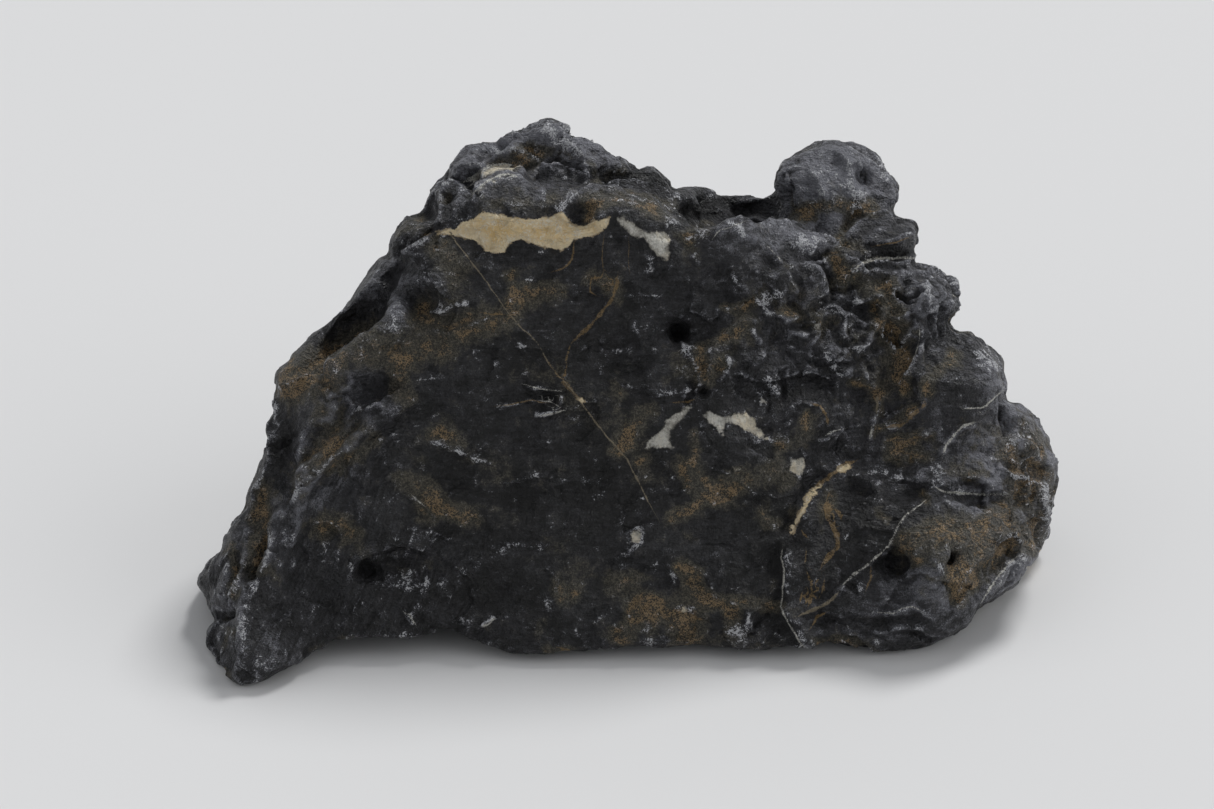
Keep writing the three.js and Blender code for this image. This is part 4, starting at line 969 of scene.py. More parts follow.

# Whitish scuffs and bruises, where the skin of the stone is crushed, and one soft painted highlight on the
# right block.
SCUFFS_AND_A_PAINTED_HIGHLIGHT = (
    Spot((-19, -3), (5, 1), 0.5, -10),
    Spot((-25.6, -5.2), (1.6, 1), 0.7),
    Spot((-15, -1.6), (2.6, 1.4), 0.5, 30),
    Spot((-11, -5), (1.4, 3.4), 0.6, 30),
    Spot((-12, -10), (1.2, 1.6)),
    Spot((-36, -0.2), (4, 1), 0.8, 6),
    Spot((-43.4, -18), (2.4, 1.8), 1.4, -20),
    Spot((-50, -16), (1.2, 2.6), 1, 20),
    Spot((-57.6, -13), (3, 1.6), 1.1, 20),
    Spot((-60, 8.6), (3, 1), 1, 20),
    Spot((-30, 19), (1.6, 1.2), 0.8),
    Spot((-28, 11), (1.2, 1.8), 0.9),
    Spot((-20, 23), (3, 1.4), 0.6, -40),
    Spot((-3, 11.4), (0.9, 1.4), 1.1),
    Spot((4, 18), (3.4, 1.4)),
    Spot((6, 21.6), (0.8, 0.8), 1.2),
    Spot((9, 36), (0.8, 0.8), 1.1),
    Spot((12, 33), (1.4, 1), 0.9),
    Spot((14.6, 25.2), (3.6, 0.7), 1.2, 2),
    Spot((-26, 42.6), (2.6, 1), 1.4, -10),
    Spot((-48, 34), (3, 0.9), 1.2, 14),
    Spot((-56, 33), (4, 2), 0.8, 30),
    Spot((26.6, 17.6), (2, 3), 1.1, 30),
    Spot((27, 11.6), (3, 2.6), 0.9),
    Spot((21, 3.6), (3.6, 1), 1.3, 10),
    Spot((27, 4.8), (3, 0.8), 1.2, 14),
    Spot((41, 15.4), (1.2, 3)),
    Spot((32.6, -8), (1, 3), 1.1, 14),
    Spot((56, 6.4), (2.4, 4.6), 1.1, 25),
    Spot((52, 1.4), (2.4, 1.2), 1.2, -20),
    Spot((58.4, -9.6), (0.8, 1.4), 1.2),
    Spot((60, -12), (10, 1), 0.7, -4),
    Spot((54, 34.6), (2.4, 3.6), 1.4, 14),
    Spot((58, 37), (3, 2), 0.9),
    Spot((44, 42.6), (1.2, 2.6), 1.1, 25),
    Spot((64, 43), (1.4, 5), 0.9, 30),
    Spot((72, 35), (1.6, 2.4)),
    Spot((77, 32), (2.6, 1.6), 1, -20),
    Spot((77.4, 12.6), (2.6, 1.5), 1.5, -45),
    Spot((74.6, 17), (0.9, 3), 1.1, 20),
    Spot((85.6, 19), (2.6, 1.4), 1.2),
    Spot((84, 34.6), (2, 1), 1.3),
    Spot((91.6, 33.4), (0.8, 1.2), 1.4, 30),
    Spot((82, 27), (3, 3.4), 0.8),
    Spot((106, 10.6), (0.6, 0.6), 1.2),
    Spot((43.6, 60.6), (2.6, 1), 1.3, -20),
    Spot((46, 57.6), (1, 2), 1.1, 20),
    Spot((56.4, 56), (2, 1.6), 1.2),
    Spot((58.6, 60.4), (1.2, 0.7), 1.3),
    Spot((67, 55), (4, 4.4), 1.1, -30),
    Spot((72, 50), (4, 1.4), 0.8, -30),
    Spot((85, 71), (5.4, 3), 1.1, -25),
    Spot((70.6, 71), (6, 4), 0.8),
    Spot((76, 81), (10, 5), 0.6),
    Spot((93, 80), (3, 6), 0.8),
    Spot((84, 65.6), (1.6, 2), 1.2),
    Spot((109, 40), (3, 5), 0.6, 10),
    Spot((110, 33), (2.4, 3.4), 0.7),
    Spot((113, 46), (3, 2), 0.8),
    # A soft painted highlight on the right block, not a scuff.
    Spot((129, 16), (5, 3), 1.1, -35),
    Spot((110.6, -27), (1.2, 1.2), 1.6),
    Spot((124, -30.4), (11, 1), 1.1, -2),
    Spot((92, -22.4), (4, 2), 1.2),
    Spot((99, -25), (4, 2.6), 0.8, 20),
    Spot((112, -21.6), (2.4, 3.4), 1.1),
    Spot((106, -20), (3, 2), 0.7),
    Spot((114, -8), (4, 3), 0.6),
    Spot((113.4, -55.6), (1.2, 2.2), 1.6, 25),
    Spot((96, -4), (3, 5), 0.6),
    Spot((92.6, -46), (0.9, 0.9), 1.2),
    Spot((81, -45), (0.9, 0.9), 1.3),
    Spot((85, -61.6), (2.4, 2.2)),
    Spot((62, -56), (1.2, 5), 0.3),
    Spot((64.6, -60.6), (1.2, 1.2)),
    Spot((98, -69.8), (8, 1.2), 0.6, -4),
    Spot((108, -69.6), (1.6, 2), 0.7, 20),
    Spot((104, -75.4), (6, 0.8), 0.5),
    Spot((91.4, -80.6), (0.8, 0.8), 1.4),
    Spot((66, -81), (2.4, 3.4), 0.9, 25),
    Spot((140, -12), (5, 8), 0.5, -30),
    Spot((149, -34), (2.4, 12), 0.9, 6),
    Spot((136, -57), (3, 9), 0.7, -45),
    Spot((140, -24), (7, 5), 0.4),
    Spot((44.6, -77), (4, 2.6), 1.2, 8),
    Spot((26.6, -69.3), (3.6, 1), 1.3),
    Spot((14, -83.4), (4, 1.8)),
    Spot((14, -76), (3, 2.6), 0.8),
    Spot((5.6, -53), (1, 3), 1.2),
    Spot((9.6, -45), (2.6, 2.8), 0.9),
    Spot((22.4, -58), (1, 3.4), 1, 20),
    Spot((48, -38), (0.8, 0.8), 1.3),
    Spot((3, -75.4), (1.8, 0.9), 1.1),
    Spot((-23, -48.8), (2, 0.8)),
    Spot((-34, -48), (5, 1.2), 0.6),
    Spot((-70.4, -45.6), (0.8, 0.8), 1.5),
    Spot((-64, -44.6), (3.4, 1.6), 1.2),
    Spot((-59, -44.6), (0.8, 2.4), 1.2, 15),
    Spot((-66, -60), (9, 2.6), 0.8, -8),
    Spot((-68, -62.6), (1.8, 0.9), 1.4),
    Spot((-68, -56.6), (5, 1.2), 0.9),
    Spot((-86.6, -55), (1, 2.6), 1, 20),
    Spot((-66.8, -72.4), (0.8, 3.2), 1.3, 30),
    Spot((-40.4, -74), (2.8, 0.8), 1.3, 30),
    Spot((-48, -73.6), (4, 1.6), 0.6),
    Spot((-20, -68), (2.4, 4), 0.6, 20),
    Spot((-84, -67.6), (4, 0.9)),
    Spot((-97, -48), (5, 2), 0.4),
    Spot((-95, -53), (7, 2.4), 0.3),
    Spot((-123, -78), (0.8, 14), 0.7),
    Spot((-121.6, -70), (1.6, 4), 0.7),
    Spot((-118, -88), (5, 6), 0.45),
    Spot((-119, -61), (1, 3.2), 1.3, -40),
    Spot((-110, -46), (3, 9), 0.45, -10),
    Spot((-105, -28), (1.2, 6), 0.6, -20),
    Spot((-84, -1.6), (4, 1.2), 1, 12),
    Spot((-101, -14), (1.2, 5), 0.5, -20),
    Spot((-130, -57), (2, 9), 0.6, -12),
    Spot((-120, -24), (1.2, 9), 0.7, -20),
    Spot((-112.6, -2), (1, 8), 0.9),
    Spot((-129, -78), (3, 4), 0.6),
    Spot((-72, -31), (6, 2), 0.5),
    Spot((-37, 76.6), (8, 1.4), 0.4, 16),
    Spot((-13, 88), (4.6, 3), 1, -20),
    Spot((-11.4, 86), (1.2, 1.8), 1.3),
    Spot((-18, 91), (3, 3), 0.8),
    Spot((-22, 94), (4, 2.4), 0.8),
    Spot((-24, 86), (2.4, 2.4), 0.9),
    Spot((-15, 76.8), (1.6, 0.9), 1.3),
    Spot((-37, 86), (2.4, 2.4), 0.9),
    Spot((-42, 84), (3.4, 3), 0.6, 30),
    Spot((-54, 76), (2.4, 4), 0.7, -20),
    Spot((-50, 62), (5, 2.4), 0.7, 35),
    Spot((-62, 56), (6, 2.4), 0.6, 30),
    Spot((-30, 68), (14, 2.4), 0.4),
    Spot((-15, 67), (3, 2.4), 0.8),
    Spot((4, 71), (14, 2.4), 0.45, -4),
    Spot((21, 67), (2.6, 5), 0.7, 10),
    Spot((31, 57), (3.4, 4), 0.9),
    Spot((24, 62), (2, 3), 0.6),
    Spot((14, 46), (3.2, 2.4), 0.5),
    Spot((-62, 46), (2.4, 7), 0.35, -20),
    Spot((-67, 27), (1.6, 0.8), 0.8),
    Spot((-72, 27.6), (4, 1), 0.7, 40),
    Spot((-72, -78), (14, 0.9), 0.3),
    Spot((-50, -80), (9, 0.9), 0.3, -10),
    Spot((0, -84), (18, 1), 0.4),
)

# Where the stone is paler than its usual black: partly rubbed, and partly painted light on the upward- and
# right-facing peak, cap, knob and right end, and in the shaded scoop.
PALE_AND_PAINTED_LIGHT_AREAS = (
    Spot((-118, -82), (16, 16), 0.6),
    Spot((-128, -60), (7, 22), 1, -12),
    Spot((-112, -46), (6, 14), 0.7, -12),
    Spot((-20, 87), (28, 10), 2.9),
    Spot((-48, 76), (14, 12)),
    Spot((78, 76), (20, 14), 3.5),
    Spot((108, 38), (12, 16), 1.1),
    Spot((130, 12), (10, 10), 0.8),
    Spot((146, -26), (16, 34), 5.2),
    Spot((122, -52), (30, 18), 1.2, 30),
    Spot((94, -70), (26, 10), 0.8),
    Spot((50, 57), (16, 7), 1.2),
    Spot((68, 56), (12, 8), 1.2),
    Spot((-10, 71), (36, 6), 0.8),
    Spot((-98, -20), (12, 24), 1.9, -30),
    Spot((-74, 40), (18, 14), 1.1),
    Spot((-90, 8), (20, 12)),
    Spot((74, 28), (34, 28), 0.9),
    Spot((108, -14), (24, 14), 1.2),
    Spot((-80, -58), (30, 12), 0.2),
)
# Where it is darker: mostly painted shade in pits, grooves and hollows, in the crest's hollow, under the
# slot's brow and in the scoop, and a few broad darker patches on the face.
DARK_AND_PAINTED_SHADE_AREAS = (
    Spot((-90, 22), (10, 4), 0.5, 42),
    Spot((-73, -55), (9, 3), 0.9),
    Spot((36, 66.4), (12, 5), 0.5),
    Spot((86, 41), (9, 4), 0.9),
    Spot((98, 52), (9, 2.6), 1.2),
    Spot((124, 2), (9, 8), 0.7),
    Spot((-10, -25), (40, 20), 0.5),
    Spot((86, -42), (12, 11), 0.7),
    Spot((-15, 15), (20, 12), 0.3),
    Spot((-109, -18), (3.4, 14), 1, -8),
    Spot((-121, -57), (2.4, 6), 1.2, -10),
    Spot((-45, -62), (26, 10), 0.4),
    Spot((57, -58), (4, 20), 0.8),
    Spot((90, -73.6), (18, 2.2), 0.9),
    Spot((12, 77), (12, 2.6), 1, -8),
    Spot((-15, 81), (6, 5), 0.9),
    Spot((62, 52), (3.4, 4)),
    Spot((70, 6), (10, 7), 0.6),
    Spot((28, 64), (3.4, 3), 1.2),
    Spot((48, -36), (8, 10), 0.5),
)


@dataclass(frozen=True)
class VeinSheet:
    """A crack that runs through the whole stone, filled with calcite, as far as it shows at the back.

    Attributes:
        at: A point on it, in millimetres.
        normal: The direction square to it.
        width: Half its width, in millimetres.
        bend: How far it strays from flat, in millimetres.
    """

    at: tuple[float, float, float]
    normal: tuple[float, float, float]
    width: float
    bend: float


BACK_VEINS = (
    VeinSheet((20, 40, 60), (0.8, 0.25, 0.55), 0.7, 9),
    VeinSheet((-60, 30, 70), (0.35, 0.3, 0.9), 1.1, 12),
)
BACK_CROSSING_VEINS = (
    VeinSheet((70, 30, 50), (-0.7, 0.2, 0.7), 0.6, 8),
    VeinSheet((-20, 50, 40), (0.9, 0.3, -0.25), 0.5, 10),
)
BACK_OCHRE_VEINS = (
    VeinSheet((90, 0, 60), (0.55, 0.5, -0.65), 0.9, 12),
    VeinSheet((-90, 20, 40), (0.6, -0.5, 0.6), 0.8, 9),
)


@dataclass(frozen=True)
class Weathering:
    """Sizes of the natural weathering, in millimetres.

    Attributes:
        swells: How far apart the widest rises are, and how high.
        crests: The same for the sharp crests between them.
        grit: The same for the finest crests, which lie over everything.
        bowls: How wide the bowls are that water has dissolved, how deep, and where in the pattern.
        strata: How thick the layers are that weather back unevenly, and how far their edges stand out.
        slabs: How wide the broken facets are, and how steeply the steepest is tipped.
        chips: The same for the small facets on them.
        hollowing: How far the weathering lies below the solid's own surface.
    """

    swells: tuple[float, float] = (26, 2.4)
    crests: tuple[float, float] = (9.5, 2.2)
    grit: tuple[float, float] = (3.6, 0.4)
    bowls: tuple[tuple[float, float, int], ...] = ((11, 1.6, 0), (4.8, 0.8, 90), (2.6, 0.3, 33))
    strata: Points = ((7.5, 1.1), (3.1, 0.45))
    slabs: tuple[float, float] = (16, 0.24)
    chips: tuple[float, float] = (6.5, 0.18)
    hollowing: float = 0.3


# How far a thread's own measure of distance reaches, and from where on it is faded in, in millimetres.
THREAD_REACH = 6.0
THREAD_FADE = 3.2
# Further away than any thread or crack can be, in millimetres.
FAR_OFF = 99.0


@dataclass
class StoneSkin:
    """The stone's outer surface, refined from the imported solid.

    Attributes:
        voxel: Grid that the solid's facets are evened out on, in millimetres.
        rounding: Passes that soften the solid's facets.
        triangles: How many the finished skin may have.
        usual_roughness: How rough the weathering is away from the face.
        form_height: How far the face's forms stand out, as a share of their amounts.
        resting: Height over the ground up to which the contact patches stay flat, in millimetres.
        weathering: Sizes of the natural weathering.
        face: The broad face's axes.
        noise: The patterns that weather it.
    """

    voxel: float = 0.85
    rounding: int = 10
    triangles: int = 197_000
    usual_roughness: float = 0.8
    form_height: float = 1.45
    resting: float = 1.6
    weathering: Weathering = Weathering()
    face: FaceFrame = field(default_factory=FaceFrame)
    noise: Noise = field(default_factory=lambda: Noise(41))

    def build(self) -> bpy.types.Object:
        """Makes the skin: copies the solid, evens it out, weathers it, thins it and marks its colours.

        Returns:
            The finished object, with its marks as attributes.
        """
        skin = self.copy_solid()
        self.remesh(skin)
        points, edges = self.read(skin)
        points = self.relax(points, edges, self.rounding)
        points = self.carve(points, self.normals(skin, points), edges)
        self.write(skin, points)
        self.thin(skin)
        self.write(skin, self.keep_in(self.read(skin)[0]))
        self.mark(skin)
        return skin

    def copy_solid(self) -> bpy.types.Object:
        """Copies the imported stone.

        Returns:
            The copy, as a free object of its own.
        """
        skin = bpy.data.objects.new("weathered_stone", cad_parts["rock"].data.copy())
        bpy.context.scene.collection.objects.link(skin)
        skin.data.materials.clear()
        return skin

    def apply(self, skin: bpy.types.Object) -> None:
        """Turns an object's modifiers into mesh.

        Args:
            skin: The object.
        """
        evaluated = skin.evaluated_get(bpy.context.evaluated_depsgraph_get())
        mesh = bpy.data.meshes.new_from_object(evaluated)
        skin.modifiers.clear()
        skin.data = mesh

    def remesh(self, skin: bpy.types.Object) -> None:
        """Covers the solid with small even faces.

        Args:
            skin: The solid's copy.
        """
        modifier = skin.modifiers.new("even", "REMESH")
        modifier.mode = "VOXEL"
        modifier.voxel_size = self.voxel * MILLIMETRE
        self.apply(skin)

    def thin(self, skin: bpy.types.Object) -> None:
        """Takes faces away where the surface is flat, down to the number allowed.

        Args:
            skin: The carved object.
        """
        skin.data.calc_loop_triangles()
        modifier = skin.modifiers.new("thin", "DECIMATE")
        modifier.ratio = min(1.0, self.triangles / len(skin.data.loop_triangles))
        modifier.use_collapse_triangulate = True
        self.apply(skin)
        skin.data.shade_smooth()
        log.info("skin: %d triangles", len(skin.data.polygons))

    def read(self, skin: bpy.types.Object) -> tuple[Array, Array]:
        """Reads an object's mesh.

        Args:
            skin: The object.

        Returns:
            Its points in millimetres, and its edges as pairs of them.
        """
        points = np.empty(len(skin.data.vertices) * 3)
        skin.data.vertices.foreach_get("co", points)
        edges = np.empty(len(skin.data.edges) * 2, dtype=np.int64)
        skin.data.edges.foreach_get("vertices", edges)
        return points.reshape(-1, 3) / MILLIMETRE, edges.reshape(-1, 2)

    def write(self, skin: bpy.types.Object, points: Array) -> None:
        """Puts points, in millimetres, back into the mesh."""
        skin.data.vertices.foreach_set("co", (points * MILLIMETRE).ravel())
        skin.data.update()

    def normals(self, skin: bpy.types.Object, points: Array) -> Array:
        """Moves the mesh's points and reads its outward directions there.

        Args:
            skin: The object.
            points: Where its points go, in millimetres.

        Returns:
            One direction for each point.
        """
        self.write(skin, points)
        normals = np.empty(len(points) * 3)
        skin.data.vertices.foreach_get("normal", normals)
        return normals.reshape(-1, 3)

    def spread(self, values: Array, edges: Array, passes: int) -> Array:
        """Evens out values over neighbouring points.

        Args:
            values: One row for each point.
            edges: Pairs of neighbouring points.
            passes: How often each point moves halfway to its neighbours' mean.

        Returns:
            The evened values.
        """
        count = len(values)
        ends = np.concatenate([edges[:, 0], edges[:, 1]])
        others = np.concatenate([edges[:, 1], edges[:, 0]])
        neighbours = np.maximum(np.bincount(ends, minlength=count), 1)
        flat = values.reshape(count, -1)
        for _ in range(passes):
            sums = [np.bincount(ends, column[others], count) for column in flat.T]
            flat = 0.5 * flat + 0.5 * np.stack(sums, axis=1) / neighbours[:, None]
        return flat.reshape(values.shape)

    def relax(self, points: Array, edges: Array, passes: int) -> Array:
        """Softens facets without shrinking the stone much.

        Args:
            points: The surface, in millimetres.
            edges: Pairs of neighbouring points.
            passes: How often it is evened out.

        Returns:
            The softened surface.
        """
        softened = self.spread(points, edges, passes)
        lost = self.spread(points - softened, edges, passes)
        return self.keep_in(softened + lost)

    def keep_in(self, points: Array) -> Array:
        """Holds points inside the solid's box."""
        low, high = (np.array(corner) / MILLIMETRE for corner in CAD_BOX)
        return np.clip(points, low, high)

    def front(self, normals: Array) -> Array:
        """How far each point faces the same way as the broad face: 0 from 85 degrees off it, 1 by 73."""
        return smooth_step(0.08, 0.3, normals @ self.face.axes()[2])

    def grain(self, places: Array) -> Array:
        """Distance across the stone's bedding, which bends up along the left flank and round the bulge.

        Args:
            places: Points as u, v and w.

        Returns:
            One distance for each point, in millimetres.
        """
        # The flank lies past u + 0.62 v = -62 to -98, and the bulge at the lower right of (56, -18).
        u, v, w = places.T
        flank = smooth_step(-62, -98, u + 0.62 * v)
        bulge = smooth_step(56, 84, u - 0.2 * v) * smooth_step(-18, -46, v)
        level = v + 0.12 * w
        steep = -0.88 * u + 0.47 * v + 0.1 * w - 70.4
        round_end = -np.hypot(u - 95, v + 5) - 5
        return level * (1 - flank) * (1 - bulge) + steep * flank + round_end * bulge * (1 - flank)

    def roughness(self, sheet: Array, rim: Array) -> Array:
        """How rough the weathering is at each point of the face and its rim; elsewhere it is usual.

        Args:
            sheet: Points on the flat sheet.
            rim: How far each belongs to the face or its rim.

        Returns:
            One factor for each point.
        """
        between_spots = 0.55
        weights = [spot.share(sheet) for spot in ROUGHNESS_OF_FACE]
        total = sum(weights)
        value = sum(w * spot.amount for w, spot in zip(weights, ROUGHNESS_OF_FACE))
        left = np.exp(-2 * total)
        face = (between_spots * left + value) / (left + total)
        return self.usual_roughness + rim * (face - self.usual_roughness)

    def facets(self, points: Array, spacing: float, slope: float) -> Array:
        """Height of broken facets, each tipped its own way.

        Args:
            points: Places in millimetres.
            spacing: About how wide a facet is.
            slope: The steepest tip.

        Returns:
            One height for each point, in millimetres.
        """
        _, _, steps, chance = self.noise.cells(points / spacing)
        tip = np.einsum("ij,ij->i", steps, chance[:, :3] * 2 - 1)
        return spacing * slope * (tip + 0.5 * (chance[:, 3] - 0.5))

    def bowls(self, points: Array, spacing: float, depth: float) -> Array:
        """Height of shallow bowls that water has dissolved, with sharp rims between them.

        Args:
            points: Places in millimetres.
            spacing: About how wide a bowl is.
            depth: How deep the larger ones are.

        Returns:
            One height for each point, in millimetres.
        """
        near, _, _, chance = self.noise.cells(points / spacing)
        # A bowl is 0.3 to 1.2 of the given depth, and flat from 0.85 of the spacing on.
        return depth * (0.3 + 0.9 * chance[:, 3]) * (np.minimum(near, 0.85) ** 2 - 0.35)

    def strata(self, points: Array, places: Array, thickness: float, depth: float) -> Array:
        """Height of thin layers that weather back unevenly, each with a sharp edge.

        Args:
            points: Places in millimetres.
            places: The same as u, v and w.
            thickness: How thick a layer is.
            depth: How far an edge stands out.

        Returns:
            One height for each point, in millimetres.
        """
        # Layers wander by 0.6 of their thickness, and show only in patches some 20 mm wide.
        across = self.grain(places) / thickness + 0.6 * self.noise.layers(points / 19 + thickness, 3)
        share = across - np.floor(across)
        shown = smooth_step(-0.25, 0.35, self.noise.waves(points / 21 + 2 * thickness))
        # Each rises over 0.84 of its thickness and drops back over the rest.
        return depth * shown * (share * smooth_step(1.0, 0.84, share) - 0.4)

    def weather(self, points: Array, places: Array, rough: Array, broken: Array) -> Array:
        """Height of the natural weathering.

        Args:
            points: The surface, in millimetres.
            places: The same as u, v and w.
            rough: How rough it is at each point.
            broken: How far it has broken along facets there, from 0 to 1.

        Returns:
            One height for each point, in millimetres.
        """
        noise, sizes = self.noise, self.weathering
        bent = points + WEATHERED_FORMS.moves(noise, points)
        spacing, rise = sizes.swells
        height = rise * noise.crests(bent / spacing, 2, 0.4, 1.3)
        spacing, rise = sizes.crests
        crests = rise * noise.crests(bent / spacing, 3, 0.5, 1.3)
        for spacing, depth, start in sizes.bowls:
            crests += self.bowls(bent + start, spacing, depth)
        for thickness, depth in sizes.strata:
            crests += self.strata(points, places, thickness, depth)
        # Facets cut the crests off, and the more so where the stone has broken.
        breaks = 0.4 - 1.3 * broken + self.facets(bent, *sizes.slabs) * (1 + broken)
        breaks += self.facets(bent + 40, *sizes.chips)
        height += np.minimum(crests, breaks)
        spacing, rise = sizes.grit
        height += rise * noise.crests(bent / spacing, 2, 0.4, 1.0)
        return height * rough

    def carve(self, points: Array, normals: Array, edges: Array) -> Array:
        """Works the weathering, forms and pits into the surface.

        Args:
            points: The surface, in millimetres.
            normals: Its outward directions.
            edges: Pairs of neighbouring points.

        Returns:
            The carved surface.
        """
        soft_normals = self.spread(normals, edges, 4)
        soft_normals /= np.linalg.norm(soft_normals, axis=1, keepdims=True)
        places = self.face.place(points)
        sheet = self.face.sheet(places) + CARVED_FORMS.moves(self.noise, points)
        front = self.front(soft_normals)
        # The rim reaches round to what faces up to 139 degrees away from the broad face.
        rim = smooth_step(-0.75, -0.35, soft_normals @ self.face.axes()[2])
        broken = rim * np.clip(sum(spot.amount * spot.share(sheet) for spot in BROKEN_AREAS), 0, 1)
        height = self.weather(points, places, self.roughness(sheet, rim), broken)
        # The rest of the stone is out of reach of the face's forms and pits.
        chosen = np.flatnonzero(rim > 0.01)
        for form in FORMS:
            height[chosen] += self.form_height * front[chosen] * form.height(sheet[chosen])
        for pit in PITS:
            shown = rim if pit.rim else front
            height[chosen] -= shown[chosen] * pit.amount * pit.share(sheet[chosen])
        height -= self.weathering.hollowing
        resting = smooth_step(self.resting, 0.2, points[:, 2])
        height = height * (1 - resting)
        carved = points + soft_normals * height[:, None]
        # The contact patches stay at ground level, apart from small hollows in them.
        carved[:, 2] += resting * np.maximum(0.9 * self.noise.layers(points / 7, 3), 0)
        return self.keep_in(carved)

    def sheet_distance(self, veins: tuple[VeinSheet, ...], points: Array) -> tuple[Array, Array]:
        """Measures how far points lie from the nearest of some cracks through the stone.

        Args:
            veins: The cracks.
            points: Points in millimetres.

        Returns:
            Distance with a sign for the side, and half the crack's width, both in millimetres.
        """
        best = np.full(len(points), FAR_OFF)
        width = np.zeros(len(points))
        for vein in veins:
            normal = np.array(vein.normal) / np.linalg.norm(vein.normal)
            bend = vein.bend * self.noise.layers(points / 42 + vein.width * 10, 3)
            distance = (points - np.array(vein.at)) @ normal + bend
            patchy = smooth_step(-0.15, 0.25, self.noise.waves(points / 24 + vein.bend))
            closer = np.abs(distance) < np.abs(best)
            best = np.where(closer, distance, best)
            width = np.where(closer, vein.width * patchy, width)
        return best, width

    def threads(
        self, lines: tuple[Line, ...], veins: tuple[VeinSheet, ...], sheet: Array, points: Array, front: Array
    ) -> Array:
        """Measures how far points lie from a set of threads.

        Args:
            lines: Threads on the face.
            veins: Cracks that show elsewhere.
            sheet: Points on the flat sheet.
            points: The same points in millimetres.
            front: How far each faces forward.

        Returns:
            Rows of signed distance, nearness from 0 to 1, and half the width.
        """
        best = np.full(len(points), FAR_OFF)
        width = np.zeros(len(points))
        for line in lines:
            across, along = line.measure(sheet)
            closer = np.abs(across) < np.abs(best)
            best = np.where(closer, across, best)
            width = np.where(closer, line.width * line.ends(along) * line.amount, width)
        back, back_width = self.sheet_distance(veins, points)
        forward = front > 0.5
        best = np.where(forward, best, back)
        width = np.where(forward, width, back_width * smooth_step(0.5, 0.2, front))
        near = np.clip(1 - np.abs(best) / THREAD_FADE, 0, 1)
        return np.stack([np.clip(best, -THREAD_REACH, THREAD_REACH), near, width], axis=1)

    def stains(
        self, points: Array, sheet: Array, front: Array, lenses: dict[str, Array]
    ) -> dict[str, Array]:
        """How strong rust, bruises, and the paler and darker places are, these last partly painted light and
        shade.

        Args:
            points: Points in millimetres.
            sheet: The same points on the flat sheet.
            front: How far each faces forward.
            lenses: How far each lies from the lenses of calcite, by their colour.

        Returns:
            Strengths by name, one for each point.
        """
        noise = self.noise
        elsewhere = 1 - front
        strayed = sheet + STAINS.moves(noise, points)
        # The rust includes one painted shade, in the groove at the bulge's left side.
        rust = sum(line.share(strayed) for line in OCHRE_STAINS_AND_GROOVE_SHADE)
        scuff_and_painted_highlight = sum(spot.amount * spot.share(sheet) for spot in SCUFFS_AND_A_PAINTED_HIGHLIGHT)
        scuff_and_painted_highlight += sum(form.bruise(sheet) for form in FORMS)
        # The stone is crushed for 2 mm or so along a lens.
        scuff_and_painted_highlight += 0.3 * smooth_step(2.6, 0.0, lenses["white"]) + 0.2 * smooth_step(2.0, 0.0, lenses["cream"])
        # Pale places are partly painted light and dark ones mostly painted shade; both go into the tone, with
        # a random tone away from the face.
        pale_and_painted_light = sum(spot.amount * spot.share(sheet) for spot in PALE_AND_PAINTED_LIGHT_AREAS)
        dark_and_painted_shade = sum(spot.amount * spot.share(sheet) for spot in DARK_AND_PAINTED_SHADE_AREAS)
        # Away from the face, patterns stand in for the marks, each spaced by so many millimetres.
        back_rust = smooth_step(0.0, 0.75, noise.layers(points / 34 + 8, 3))
        back_scuff = smooth_step(0.1, 0.8, noise.layers(points / 13 + 3, 3))
        back_tone = noise.layers(points / 40, 2)
        return {
            "ochre": np.clip(rust, 0, 1) * front + 0.8 * back_rust * elsewhere,
            "scuff_and_painted_highlight": np.clip(scuff_and_painted_highlight, 0, 1) * front + 0.7 * back_scuff * elsewhere,
            "painted_light_and_tone": (pale_and_painted_light - dark_and_painted_shade) * front + 0.5 * back_tone * elsewhere,
        }

    def lenses(self, points: Array, sheet: Array) -> dict[str, Array]:
        """Measures how far points lie from the face's lenses of calcite.

        Args:
            points: Points in millimetres.
            sheet: The same points on the flat sheet.

        Returns:
            Distances in millimetres by the calcite's colour, negative inside.
        """
        torn = sheet + TORN_VEINS.moves(self.noise, points)
        kinds = {"cream": CREAM_CALCITE, "white": WHITE_CALCITE}
        return {
            name: np.minimum.reduce([patch.distance(torn) for patch in patches])
            for name, patches in kinds.items()
        }

    def mark(self, skin: bpy.types.Object) -> None:
        """Stores where each colour and finish lies as attributes of the mesh's points.

        Args:
            skin: The thinned object.
        """
        points, edges = self.read(skin)
        normals = self.normals(skin, points)
        places = self.face.place(points)
        sheet = self.face.sheet(places) + MARKS.moves(self.noise, points)
        front = self.front(self.spread(normals, edges, 6))
        lenses = self.lenses(points, sheet)
        marks = self.stains(points, sheet, front, lenses)
        # Away from the face the cracks swell to lenses here and there, up to 3.4 and 2.4 mm either side.
        across, width = self.sheet_distance(BACK_VEINS, points)
        swelling = 3.4 * smooth_step(0.15, 0.6, self.noise.layers(points / 20 + 4, 2)) * (width > 0.5)
        marks["cream"] = np.where(front > 0.5, lenses["cream"], np.abs(across) - swelling)
        across, width = self.sheet_distance(BACK_CROSSING_VEINS, points)
        swelling = 2.4 * smooth_step(0.25, 0.7, self.noise.layers(points / 14 + 6, 2)) * (width > 0.3)
        marks["white"] = np.where(front > 0.5, lenses["white"], np.abs(across) - swelling)
